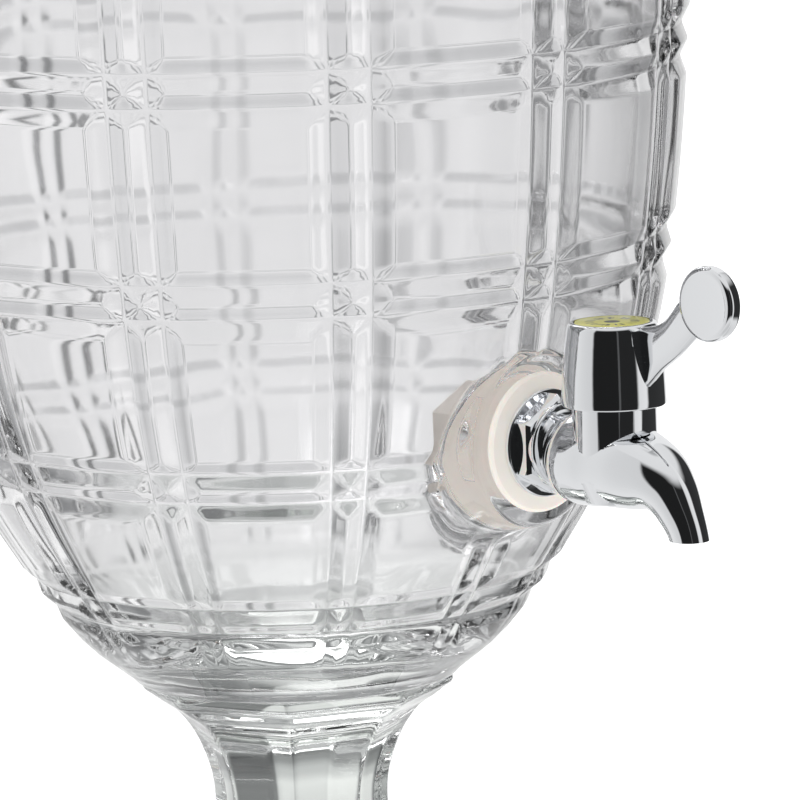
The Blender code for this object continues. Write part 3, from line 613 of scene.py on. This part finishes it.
def outer_columns(nominal):
    """Angles of the outer wall's columns: the rings' own near the tap, then uprights and panes."""
    near = nominal / RING_WIDTH
    sector, edge = TURN / UPRIGHTS, UPRIGHT_HALF * 1.2
    extra = []
    for k in range(1, UPRIGHTS):
        extra += [k * sector + UPRIGHT_HALF * x for x in BAND_CUTS]
        extra += list(k * sector + np.linspace(edge, sector - edge, PANE_CUTS))
    extra = sorted(a for a in extra if near[-1] + 0.012 < a < TURN - near[-1] - 0.012)
    return np.array([*-near[:0:-1], *near, *extra])


def outer_rows(nominal):
    """Heights of the outer wall's rows, from the bottom up."""
    rows = [*(TAP_HEIGHT - nominal[:0:-1]), *(TAP_HEIGHT + nominal)]
    lengths = np.linspace(0, WALL_LENGTH[-1], WALL_ROWS)
    spread = list(np.interp(lengths, WALL_LENGTH, WALL_CURVE[:, 1]))
    near_band = []
    for band in BAND_HEIGHTS:
        centre = wall_at(band)[3]
        cuts = centre + BAND_HALF * np.array(BAND_CUTS)
        near_band += list(np.interp(cuts, WALL_LENGTH, WALL_CURVE[:, 1]))
        spread = [z for z in spread if abs(wall_at(z)[3] - centre) >= 1.15 * BAND_HALF]
    low, high = rows[0] - 0.0004, rows[-1] + 0.0004
    return np.array(sorted(rows + [z for z in spread + near_band if z < low or z > high]))


def boss_front(rho):
    """How far forward the boss is, by distance from the tap's axis. Its last slope carries on outward."""
    side = np.array(BOSS_SIDE)
    side = np.vstack([side, side[-1] + (side[-1] - side[-2]) * 3])
    return np.interp(rho, side[:, 0], side[:, 1])


def outer_surface():
    """The outer wall and boss: points by row and column, columns, rows, and the last ring's number."""
    rings = ring_sizes(24, 0.00123, 20, ((7, 0.0222), (11, 0.0249), (22, 0.0310)))
    columns, rows = outer_columns(rings[0]), outer_rows(rings[0])
    angles, heights, rho, near = bent_grid(columns, rows, lambda z: wall_at(z)[0], rings)
    radius, normal_r, normal_z, _ = wall_at(heights)
    depth = cut_depth(angles, heights)
    r, z = radius - depth * normal_r, heights - depth * normal_z
    x, forward = r * np.sin(angles), r * np.cos(angles)
    boss = np.where(near, boss_front(rho), -1)
    flat = 1 - smooth_step(*BOSS_EDGE, rho)
    merged = smooth_max(forward, boss, BOSS_BLEND)
    merged = np.where(near, merged + flat * (BOSS_FACE - merged), forward)
    uncut = np.maximum(smooth_step(-BOSS_BLEND / 2, BOSS_BLEND / 2, boss - forward), flat)
    uncut = np.where(near, uncut, 0)
    x = x + uncut * (radius * np.sin(angles) - x)
    z = z + uncut * (heights - z)
    return np.stack([x, -merged, z], axis=2), columns, rows, len(rings[0]) - 1


def inner_outline():
    """The inner wall as (radius, height) from the mouth to the floor's edge."""
    points = [(JAR_MOUTH_RADIUS, INNER_TOP), (JAR_MOUTH_RADIUS, 0.3990), (JAR_MOUTH_RADIUS + 0.0006, 0.3930)]
    for height in np.linspace(0.3890, 0.1290, 14):
        radius, normal_r, normal_z, _ = wall_at(height)
        z = height - WALL * normal_z
        if 0.1280 < z < 0.3880:
            points.append((radius - WALL * normal_r, z))
    return smooth_points(points, 10)


def inner_wave(angles, heights):
    """How far the pressed glass bulges inward: small uneven waves, and the faint print of the panes."""
    wave = 0.00008 * np.sin(19 * angles + 3 * np.sin(31 * heights))
    wave = wave + 0.00010 * np.sin(5 * angles + 90 * heights)
    wave = wave + 0.00020 * np.cos(UPRIGHTS * angles)
    wave = wave + 0.00018 * np.cos(TURN * (heights - BAND_HEIGHTS[2]) / 0.0577)
    return wave * smooth_step(0.399, 0.38, heights)


def inner_surface():
    """The inner wall, from the floor's edge up to the mouth, as outer_surface gives the outer one."""
    outline = inner_outline()[::-1]
    rings = ring_sizes(HOLE_RING + 1, 0.0018, 15, ((7, 0.0184), (8, 0.0187)))
    nominal = rings[0]
    near = nominal / RING_WIDTH
    rest = np.linspace(near[-1], TURN - near[-1], 82)[1:-1]
    columns = np.concatenate([-near[:0:-1], near, rest])
    below = np.linspace(outline[0, 1], TAP_HEIGHT - nominal[-1], 9)[:-1]
    above = np.linspace(TAP_HEIGHT + nominal[-1], INNER_TOP, 44)[1:]
    rows = np.concatenate([below, TAP_HEIGHT - nominal[:0:-1], TAP_HEIGHT + nominal, above])

    def radius_of(z):
        return np.interp(z, outline[:, 1], outline[:, 0])

    angles, heights, rho, near_tap = bent_grid(columns, rows, radius_of, rings)
    radius = radius_of(heights)
    r = radius - inner_wave(angles, heights)
    x, forward = r * np.sin(angles), r * np.cos(angles)
    pad = INNER_FACE + np.clip((rho - INNER_FACE_RADIUS) * INNER_FACE_SLOPE, 0, None)
    merged = -smooth_max(-forward, -pad, 0.002)
    flat = rho <= INNER_FACE_RADIUS
    merged = np.where(near_tap, np.where(flat, INNER_FACE, merged), forward)
    x = np.where(near_tap & flat, radius * np.sin(angles), x)
    return np.stack([x, -merged, heights], axis=2), columns, rows, len(nominal) - 1


def hole_path(row, column):
    """Row and column numbers round the square that becomes the hole's edge."""
    ring = HOLE_RING
    there, back = range(-ring, ring), range(ring, -ring, -1)
    path = [(row - ring, column + i) for i in there] + [(row + j, column + ring) for j in there]
    return path + [(row + ring, column + i) for i in back] + [(row + j, column - ring) for j in back]


def pressed(corners, forward, radius):
    """Whether a washer is pressed on this face, so that nothing but the washer is seen through it."""
    reach = np.hypot(corners[:, 0], corners[:, 2] - TAP_HEIGHT)
    return bool(np.abs(corners[:, 1] + forward).max() < 2e-5 and reach.max() < radius)


def add_wall(shell, wall, face, pressed_radius, slot):
    """Adds a wall with its hole. Returns its first point's number, and the numbers round the hole."""
    grid, columns, rows, reach = wall
    points = grid.reshape(-1, 3)
    start = shell.add_points(points)
    zero = int(np.argmin(np.abs(rows - TAP_HEIGHT)))

    def in_hole(j, i):
        return zero - HOLE_RING <= j < zero + HOLE_RING and reach - HOLE_RING <= i < reach + HOLE_RING

    for corners in grid_faces(len(rows), len(columns), start, skip=in_hole):
        at_washer = pressed(points[np.array(corners) - start], face, pressed_radius)
        shell.add_faces([corners], 1 if at_washer else slot)
    return start, [start + j * len(columns) + i for j, i in hole_path(zero, reach)]


def rim_profile():
    """From the outer wall's top round the neck and the bead to the mouth."""
    shoulder, low, middle, high = JAR_NECK_HEIGHTS
    profile = [(JAR_NECK_RADIUS + 0.0006, shoulder), (JAR_NECK_RADIUS, low), (JAR_NECK_RADIUS, middle)]
    profile += arc((JAR_NECK_RADIUS + 0.0009, high - 0.0006), 0.0009, 180, 90, 4)
    profile += arc((JAR_BEAD_RADIUS - 0.0018, high + 0.0021), 0.0018, -90, 0, 5)
    profile += arc((JAR_BEAD_RADIUS - 0.0022, JAR_TOP - 0.0022), 0.0022, 0, 90, 6)
    return profile + arc((JAR_MOUTH_RADIUS + 0.0020, JAR_TOP - 0.0020), 0.0020, 90, 165, 5)


def foot_share(angles):
    return polygon_share(angles, FOOT_SIDES, FOOT_TURN, 70)


def make_jar():
    """The jar's glass. Slot 0 is the outside, 1 the faces that let everything through, and 2 the inside."""
    shell = Shell()
    outer = outer_surface()
    columns, rows = outer[1], outer[2]
    width = len(columns)
    start, outer_ring = add_wall(shell, outer, BOSS_FACE, OUTER_PRESSED_RADIUS, 0)
    rim = shell.add_rows(rim_profile(), columns, start + (len(rows) - 1) * width)
    inner = inner_surface()
    inner_columns, inner_rows = inner[1], inner[2]
    inner_width = len(inner_columns)
    inner_start, inner_ring = add_wall(shell, inner, INNER_FACE, INNER_PRESSED_RADIUS, 2)
    shell.stitch(rim, columns, inner_start + (len(inner_rows) - 1) * inner_width, inner_columns)

    outline = inner_outline()
    floor = smooth_points([outline[-4], outline[-1], *JAR_FLOOR], 3)[4:]
    last = shell.add_rows(floor, inner_columns, inner_start)
    shell.close(last, inner_width, JAR_FLOOR_MIDDLE)

    last = shell.add_rows(JAR_HEEL, columns, start)
    last = shell.add_rows([(FOOT_CONTACT, JOINT_HEIGHT)], columns, last, foot_share(columns))
    shell.close(last, width, (0, 0, JOINT_HEIGHT), 1)

    ring_points = np.array([shell.points[k] for k in outer_ring])
    previous = outer_ring
    for forward in HOLE_STEPS:
        ring_points[:, 1] = -forward
        first = shell.add_points(ring_points)
        current = range(first, first + len(outer_ring))
        shell.join_rings(previous, current)
        previous = current
    shell.join_rings(previous, inner_ring)
    jar = new_object("jar_glass", shell.points, shell.faces, [JAR_GLASS, JOINT_FACE, INNER_GLASS], shell.slots)
    remove_loose(jar)
    return jar


def remove_loose(obj):
    """Deletes points that no face uses, such as those inside the hole."""
    made = bmesh.new()
    made.from_mesh(obj.data)
    loose = [v for v in made.verts if not v.link_faces]
    bmesh.ops.delete(made, geom=loose, context="VERTS")
    made.to_mesh(obj.data)
    made.free()


# Foot


def make_foot():
    """The foot's glass. Its top is the face that meets the jar."""
    profile = [(FOOT_CONTACT, JOINT_HEIGHT), (0.0439, 0.1060)]
    profile += arc((0.0439, 0.1040), 0.0021, 75, -80, 12)
    profile += list(smooth_points(((0.0439, 0.1016), *FOOT_PROFILE), 5)[1:])
    profile += arc((0.0758, 0.0058), 0.0020, 70, 0, 5) + arc((0.0766, 0.0013), 0.0012, 0, -90, 4)
    profile += [(0.0700, 0.0000), (0.0640, 0.0022), (0.0500, 0.0040), (0.0200, 0.0046)]
    columns = 192
    angles = np.arange(columns) * TURN / columns + FOOT_TURN
    shell = Shell()
    for radius, height in profile:
        shell.add_points(round_points(radius * foot_share(angles), angles, height))
    shell.add_faces(grid_faces(len(profile), columns))
    shell.close(0, columns, (0, 0, JOINT_HEIGHT), 1)
    shell.close((len(profile) - 1) * columns, columns, (0, 0, 0.0048))
    return new_object("foot_glass", shell.points, shell.faces, [FOOT_GLASS, JOINT_FACE], shell.slots)


# Tap


def at_valve(name, profile, material, **settings):
    """A profile turned about the valve's upright axis."""
    place = Matrix.Translation((0, -VALVE_FORWARD, 0))
    return revolve(name, profile, material, axis=place, **settings)


def sweep(name, path, material, columns=64, ball=False):
    """A round tube with closed ends along a path of (forward, height, radius). A ball rounds its start."""
    line = smooth_points(path, 8)
    along = np.gradient(line[:, :2], axis=0)
    along /= np.linalg.norm(along, axis=1)[:, None]
    rings = []
    if ball:
        radius = line[0, 2]
        for angle in np.radians(np.linspace(-90, 0, 19))[:-1]:
            place = line[0, :2] + along[0] * radius * math.sin(angle)
            rings.append((place, along[0], max(radius * math.cos(angle), 1e-6)))
    rings += [(p[:2], d, p[2]) for p, d in zip(line, along)]
    turn = np.arange(columns) * TURN / columns
    points = []
    for (forward, height), (ahead, rise), radius in rings:
        side, up = radius * np.sin(turn), radius * np.cos(turn)
        points += np.stack([side, -(forward - rise * up), height + ahead * up], axis=1).tolist()
    faces = grid_faces(len(rings), columns) + end_faces(len(rings), columns)
    return new_object(name, points, faces, [material], sharp=40)


def end_faces(rows, columns):
    """The two faces that close the ends of a grid of points."""
    last = (rows - 1) * columns
    return [tuple(range(columns)), tuple(range(last, last + columns))]


def block(name, low, high, material):
    points = [(x, y, z) for x in (low[0], high[0]) for y in (low[1], high[1]) for z in (low[2], high[2])]
    faces = [(0, 1, 3, 2), (4, 6, 7, 5), (0, 4, 5, 1), (2, 3, 7, 6), (0, 2, 6, 4), (1, 5, 7, 3)]
    return new_object(name, points, faces, [material])


def hexagon(angles, radius):
    return radius * polygon_share(angles, 6, 0.0, 260)


def make_tap_body():
    """The casting: threaded stem, flange, hexagon, valve body and spout, with the water's way cut out."""
    stem = [(0, 0.0740), (0.0072, 0.0740)]
    for z in 0.0752 + THREAD_STEP * np.arange(23):
        stem += [(0.0080, z), (0.0080, z + 0.0002), (0.0074, z + 0.0006), (0.0074, z + 0.0008)]
    stem += [(0.0080, 0.1040), (0.0080, 0.1109), (0.0146, 0.1109)]
    stem += arc((0.0145, 0.1115), 0.0006, -90, 0, 5) + arc((0.0145, 0.1121), 0.0006, 0, 90, 5)
    stem += [(0.0124, 0.1127), (0.0118, 0.1130), (0.0118, 0.1182)] + arc((0.0112, 0.1186), 0.0006, 0, 90, 5)
    stem += [(0.0101, 0.1193), (0.0096, 0.1198), (0.0095, 0.1210), (0.0095, 0.1280), (0, 0.1280)]
    body = revolve("tap_shape", stem, CHROME, columns=128, axis=ALONG_TAP, sharp=50)
    nut = [(0, 0.1124), (0.0132, 0.1124), (0.0141, 0.1130), (0.0141, 0.1166), (0.0131, 0.1178)]
    nut += [(0.0110, 0.1180), (0, 0.1180)]
    neck = [(0, 0.2040), (0.0112, 0.2040), (0.0116, 0.2036), (0.0116, 0.1790), (0.0086, 0.1730), (0, 0.1716)]
    parts = [
        revolve("flats", nut, CHROME, columns=144, shape=hexagon, axis=ALONG_TAP, sharp=12),
        sweep("spout", SPOUT_PATH, CHROME, 96, ball=True),
        at_valve("neck", neck, CHROME),
    ]
    join_shapes(body, "UNION", parts)
    chamber = [(0, 0.1790), (0.0078, 0.1790), (0.0078, 0.1989), (0.0096, 0.1989), (0.0096, 0.2009)]
    chamber += [(0.0105, 0.2009), (0.0105, 0.2025), (0.0096, 0.2025), (0.0096, 0.2050), (0, 0.2050)]
    bore = [(0, 0.0700), (0.0045, 0.0700), (0.0045, 0.1390), (0, 0.1390)]
    cuts = [
        at_valve("chamber", chamber, CHROME, columns=72),
        revolve("bore", bore, CHROME, columns=48, axis=ALONG_TAP),
        sweep("passage", PASSAGE_PATH, CHROME, 40),
        block("under", (-0.02, -0.19, 0.150), (0.02, -0.15, SPOUT_END), CHROME),
    ]
    join_shapes(body, "DIFFERENCE", cuts)
    return finish_join(body, "tap_casting", 32)


def finish_join(obj, name, sharp):
    """Puts the object's place into its mesh, and shades it smooth except past the sharp angle."""
    obj.name = name
    mesh = obj.data
    mesh.transform(obj.matrix_world.copy())
    obj.matrix_world = Matrix.Identity(4)
    for polygon in mesh.polygons:
        polygon.use_smooth = True
    mesh.set_sharp_from_angle(angle=math.radians(sharp))
    step = obj.modifiers.new("normals", "WEIGHTED_NORMAL")
    step.keep_sharp = True
    return obj


# Handle


def rounded_power(value, power):
    return np.sign(value) * abs(value) ** power


def make_web():
    """The flat bar between the cap and the paddle, with a rounded-off section."""
    section = []
    for a in np.radians(np.linspace(0, 360, 33))[:-1]:
        section.append((rounded_power(math.cos(a), WEB_ROUNDNESS), rounded_power(math.sin(a), WEB_ROUNDNESS)))
    points = []
    for upper, lower in zip(smooth_points(WEB_UPPER, 10), smooth_points(WEB_LOWER, 10)):
        middle, half = (upper + lower) / 2, (upper - lower) / 2
        for across, side in section:
            forward, height = middle + half * across
            points.append((WEB_HALF * side, -forward, height))
    count = len(section)
    rows = len(points) // count
    faces = grid_faces(rows, count) + end_faces(rows, count)
    return new_object("web", points, faces, [HANDLE_CHROME], sharp=60)


def make_handle():
    """The handle's casting, with the label's seat, the screw's recess and the rotor's socket cut out."""
    cap = [(0, 0.2224), (0.0108, 0.2224), (0.0109, 0.2224), (0.0116, 0.2223), (0.0121, 0.2219)]
    cap += [(0.0125, 0.2209), *smooth_points(CAP_OUTLINE, 8)]
    cap += [(0.0144, 0.2001), (0.0142, 0.1997), (0.0138, 0.1995), (0.0121, 0.1995), (0.0121, 0.2046)]
    cap += [(0.0110, 0.2052), (0, 0.2052)]
    cap = at_valve("cap", cap, HANDLE_CHROME, columns=160, sharp=24)
    rim = [(0, 0.0022), (0.0070, 0.00225), (0.0085, 0.0024)] + arc((0.00865, 0.0008), 0.0016, 90, 0, 8)
    rim += arc((0.00865, -0.0008), 0.0016, 0, -90, 8) + [(0.0085, -0.0024), (0.0070, -0.00225), (0, -0.0022)]
    side = Matrix.Translation((0, -PADDLE[0], PADDLE[1])) @ Matrix.Rotation(math.pi / 2, 4, "Y")
    paddle = revolve("paddle", rim, HANDLE_CHROME, columns=128, axis=side, sharp=60)
    join_shapes(cap, "UNION", [make_web(), paddle])
    seat = [(0, 0.2214), (0.0106, 0.2214), (0.0106, 0.2230), (0, 0.2230)]
    recess = [(0, 0.2160), (0.0042, 0.2160), (0.0042, 0.2220), (0, 0.2220)]
    hole = [(0, 0.2040), (0.0030, 0.2040), (0.0030, 0.2170), (0, 0.2170)]
    low, high = (-0.0040, -VALVE_FORWARD - 0.0040, 0.2040), (0.0040, -VALVE_FORWARD + 0.0040, 0.2143)
    cuts = [
        at_valve("seat", seat, HANDLE_CHROME),
        at_valve("recess", recess, HANDLE_CHROME, columns=48),
        block("socket", low, high, HANDLE_CHROME),
        at_valve("hole", hole, HANDLE_CHROME, columns=32),
    ]
    join_shapes(cap, "DIFFERENCE", cuts)
    return finish_join(cap, "handle_casting", 32)


def make_badge():
    disc = [(0, 0.2215), (0.0103, 0.2215), (0.0103, 0.2221)]
    disc += arc((0.0100, 0.2221), 0.0003, 0, 90, 4) + [(0, 0.2223)]
    return at_valve("badge", disc, YELLOW)


# Washers and nut


def make_washer(name, inner, outer, back, front, material):
    """A washer on the tap's axis: radii, then distances forward."""
    half = (front - back) / 2
    middle = (front + back) / 2
    edge = half * 0.8
    profile = arc((outer - edge, middle), edge, 90, -90, 9)
    profile[0] = (outer - edge, front)
    profile[-1] = (outer - edge, back)
    profile += [(inner + 0.0002, back), (inner, back + 0.0002)]
    profile += [(inner, front - 0.0002), (inner + 0.0002, front), profile[0]]
    return revolve(name, profile, material, columns=128, axis=ALONG_TAP)


def nut_shape(angles, radius):
    """Six flats outside, and round at the bore."""
    return radius * polygon_share(angles, 6, 0, 200) if radius > 0.0100 else radius


def make_nut():
    corner = NUT_HALF / math.cos(math.pi / 6)
    flange = [(0.0083, 0.0870), (0.0150, 0.0870), (0.0158, 0.0867), (0.0158, 0.0853), (0.0154, 0.0850)]
    flange += [(0.0083, 0.0850), flange[0]]
    body = revolve("nut_flange", flange, NUT_PLASTIC, columns=128, axis=ALONG_TAP)
    flats = [(0.0083, 0.0851), (corner, 0.0851), (corner, 0.0780), (corner - 0.0012, 0.0771)]
    flats += [(0.0092, 0.0771), (0.0083, 0.0780), flats[0]]
    other = revolve("nut_flats", flats, NUT_PLASTIC, columns=144, shape=nut_shape, axis=ALONG_TAP, sharp=20)
    join_shapes(body, "UNION", [other])
    return finish_join(body, "clamp_nut", 25)


# Lid


def lid_row(angles, radius, height):
    """A row of the lid's outside: an eight-sided knob, and flutes in the dome."""
    if height > KNOB_BOTTOM:
        share = polygon_share(angles, KNOB_SIDES, math.radians(22.5), 120)
        blend = min(1, (height - KNOB_BOTTOM) / 0.003)
        return round_points(radius * (1 + blend * (share - 1)), angles, height)
    if height < LID_DOME_FOOT or radius <= FLUTE_ENDS[0]:
        return round_points(radius, angles, height)
    sector = TURN / FLUTES
    offset = (angles + sector / 2) % sector - sector / 2
    groove = np.clip(1 - np.abs(offset) / FLUTE_HALF, 0, 1)
    cut = FLUTE_DEPTH * groove * smooth_step(*FLUTE_ENDS, radius) * smooth_step(*FLUTE_HEIGHTS, height)
    return round_points(radius - cut, angles, height - cut)


def make_lid():
    """The lid's glass: its hollow from the middle out, then its outside from the plug up to the knob."""
    hollow = smooth_points(LID_HOLLOW, 5)[::-1]
    outside = [*LID_RIM, *smooth_points(LID_DOME, 6), *LID_KNOB]
    columns = 240
    angles = np.arange(columns) * TURN / columns
    points = []
    for radius, height in hollow:
        points += round_points(max(radius, SMALLEST_RADIUS), angles, height).tolist()
    for radius, height in outside:
        points += lid_row(angles, max(radius, SMALLEST_RADIUS), height).tolist()
    rows = len(hollow) + len(outside)
    faces = grid_faces(rows, columns) + end_faces(rows, columns)
    return new_object("lid_glass", points, faces, [LID_GLASS], sharp=24)


def make_gasket():
    """A ring with three soft ribs round its outside."""
    inner, outer, top, low = 0.0683, 0.0716, 0.4068, 0.4018
    profile = [(inner, low + 0.0003), (inner, top - 0.0003), (inner + 0.0003, top), (outer - 0.0012, top)]
    for k in range(3):
        profile += arc((outer - 0.0008, top - 0.0010 - 0.0015 * k), 0.0007, 80, -80, 7)
    profile += [(outer - 0.0012, low), (inner + 0.0003, low), (inner, low + 0.0003)]
    return revolve("gasket_ring", profile, CLEAR_SILICONE, columns=160)


# Stage


def ride(obj, body, node):
    """The piece moves with the body and stands for the CAD node, which it hides."""
    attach(obj, body)
    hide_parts(node)


def add_camera():
    data = bpy.data.cameras.new("camera")
    data.sensor_width = 36
    data.lens = CAMERA_LENS
    data.clip_start, data.clip_end = 0.05, 60
    obj = bpy.data.objects.new("camera", data)
    bpy.context.scene.collection.objects.link(obj)
    ahead = Vector(CAMERA_AIM) - Vector(CAMERA_PLACE)
    facing = ahead.to_track_quat("-Z", "Y").to_matrix() @ Matrix.Rotation(math.radians(CAMERA_ROLL), 3, "Z")
    obj.matrix_world = Matrix.Translation(CAMERA_PLACE) @ facing.to_4x4()
    bpy.context.scene.camera = obj


def room_tint(value):
    """The room is neutral where it is bright, and slightly blue where it is dark."""
    dark = 1 - min(value, 1)
    return value * (1 - 0.030 * dark), value * (1 - 0.010 * dark), value * (1 + 0.015 * dark), 1


def brightness(add, place, stops, reach):
    """The room's brightness at a place from 0 to 1, by stops in degrees from -reach to reach."""
    node = add("ShaderNodeValToRGB", {"Fac": place})
    ramp = node.color_ramp
    ramp.interpolation = "EASE"
    ramp.elements.remove(ramp.elements[-1])
    first, *others = [((degrees + reach) / (2 * reach), room_tint(value)) for degrees, value in stops]
    ramp.elements[0].position, ramp.elements[0].color = first
    for position, colour in others:
        ramp.elements.new(position).color = colour
    return node.outputs[0]


def add_world():
    """The room, fixed round the object: white to the camera, one pattern when mirrored, another otherwise."""
    world = bpy.data.worlds.new("studio")
    bpy.context.scene.world = world
    world.use_nodes = True
    tree = world.node_tree
    tree.nodes.clear()

    def add(kind, inputs=(), **settings):
        return add_node(tree, kind, inputs, **settings)

    def mix(factor, a, b, blend="MIX"):
        return add("ShaderNodeMix", {0: factor, 6: a, 7: b}, data_type="RGBA", blend_type=blend).outputs[2]

    direction = add("ShaderNodeTexCoord").outputs["Generated"]
    turn = {"Vector": direction, "Angle": math.radians(90 - CAMERA_AZIMUTH)}
    turned = add("ShaderNodeVectorRotate", turn, rotation_type="Z_AXIS").outputs[0]
    parts = add("ShaderNodeSeparateXYZ", {"Vector": turned}).outputs
    azimuth = add("ShaderNodeMath", {0: parts["Y"], 1: parts["X"]}, operation="ARCTAN2").outputs[0]
    elevation = add("ShaderNodeMath", {0: parts["Z"]}, operation="ARCSINE").outputs[0]
    limits = {"From Min": math.pi, "From Max": -math.pi}
    across = add("ShaderNodeMapRange", {"Value": azimuth, **limits}).outputs[0]
    limits = {"From Min": -math.pi / 2, "From Max": math.pi / 2}
    up = add("ShaderNodeMapRange", {"Value": elevation, **limits}).outputs[0]
    mirrored = brightness(add, across, MIRRORED, 180)
    for stops in (MIRRORED_LOW, MIRRORED_HIGH):
        mirrored = mix(1.0, mirrored, brightness(add, up, stops, 90), "LIGHTEN")
    seen = mix(1.0, brightness(add, across, SEEN, 180), brightness(add, up, SEEN_HEIGHTS, 90), "MULTIPLY")
    ray = add("ShaderNodeLightPath").outputs
    # A ray through glass is marked as glossy as well.
    is_mirrored = {0: ray["Is Glossy Ray"], 1: ray["Is Transmission Ray"]}
    is_mirrored = add("ShaderNodeMath", is_mirrored, operation="SUBTRACT").outputs[0]
    room = mix(ray["Is Camera Ray"], mix(is_mirrored, seen, mirrored), (1, 1, 1, 1))
    background = add("ShaderNodeBackground", {"Color": room, "Strength": 1.0})
    output = add("ShaderNodeOutputWorld")
    tree.links.new(background.outputs[0], output.inputs["Surface"])


def add_floor():
    """A pale floor that glows more with distance, to meet the white room. Glass and chrome don't show it."""
    made = Nodes("floor", (0.88, 0.88, 0.88), 0.6)
    made.set(emission_color=(1, 1, 1, 1))
    away = made.add("ShaderNodeVectorMath", {0: made.place}, operation="LENGTH").outputs["Value"]
    made.link(made.ramp(away, 0.40, 0.80, 0.15, 1.3), "Emission Strength")
    points = [(x * FLOOR_HALF, y * FLOOR_HALF, 0) for x, y in ((-1, -1), (1, -1), (1, 1), (-1, 1))]
    floor = new_object("floor", points, [(0, 1, 2, 3)], [made.material])
    floor.location.z = -0.0002
    floor.visible_transmission = False
    floor.visible_glossy = False


def add_lights():
    """Two soft lights, which aren't mirrored in anything."""
    for name, place, size, energy in LIGHTS:
        data = bpy.data.lights.new(name, "AREA")
        data.shape, data.size, data.energy = "SQUARE", size, energy
        obj = bpy.data.objects.new(name, data)
        obj.location = place
        obj.visible_glossy = False
        obj.rotation_euler = (Vector(LIGHTS_AIM) - Vector(place)).to_track_quat("-Z", "Y").to_euler()
        bpy.context.scene.collection.objects.link(obj)


def set_quality():
    scene = bpy.context.scene
    scene.view_settings.view_transform = "Standard"
    cycles = scene.cycles
    cycles.max_bounces = cycles.transmission_bounces = cycles.transparent_max_bounces = GLASS_BOUNCES
    cycles.glossy_bounces = 8
    cycles.sample_clamp_indirect = 6.0


def main():
    ride(make_jar(), "dispenser", "jar")
    ride(make_foot(), "dispenser", "foot")
    ride(make_tap_body(), "dispenser", "tap_body")
    front_washer = make_washer("front_washer", 0.0082, 0.0196, 0.1083, 0.1106, BEIGE)
    back_washer = make_washer("back_washer", 0.0082, 0.0175, 0.0874, 0.0897, BEIGE)
    ride(front_washer, "dispenser", "outer_washer")
    ride(back_washer, "dispenser", "inner_washer")
    ride(make_nut(), "dispenser", "shank_nut")
    ride(make_handle(), "lever", "tap_handle")
    ride(make_badge(), "lever", "cap_label")
    ride(make_lid(), "lid", "lid")
    ride(make_gasket(), "lid", "lid_gasket")
    finishes = {
        "valve_rotor": ROTOR_PLASTIC,
        "lower_o_ring": RUBBER,
        "upper_o_ring": RUBBER,
        "snap_ring": STEEL,
        "handle_screw": STEEL,
    }
    for name, finish in finishes.items():
        node = NODES[name]
        node.data.materials.clear()
        node.data.materials.append(finish)
    add_camera()
    add_world()
    add_floor()
    add_lights()
    set_quality()


main()
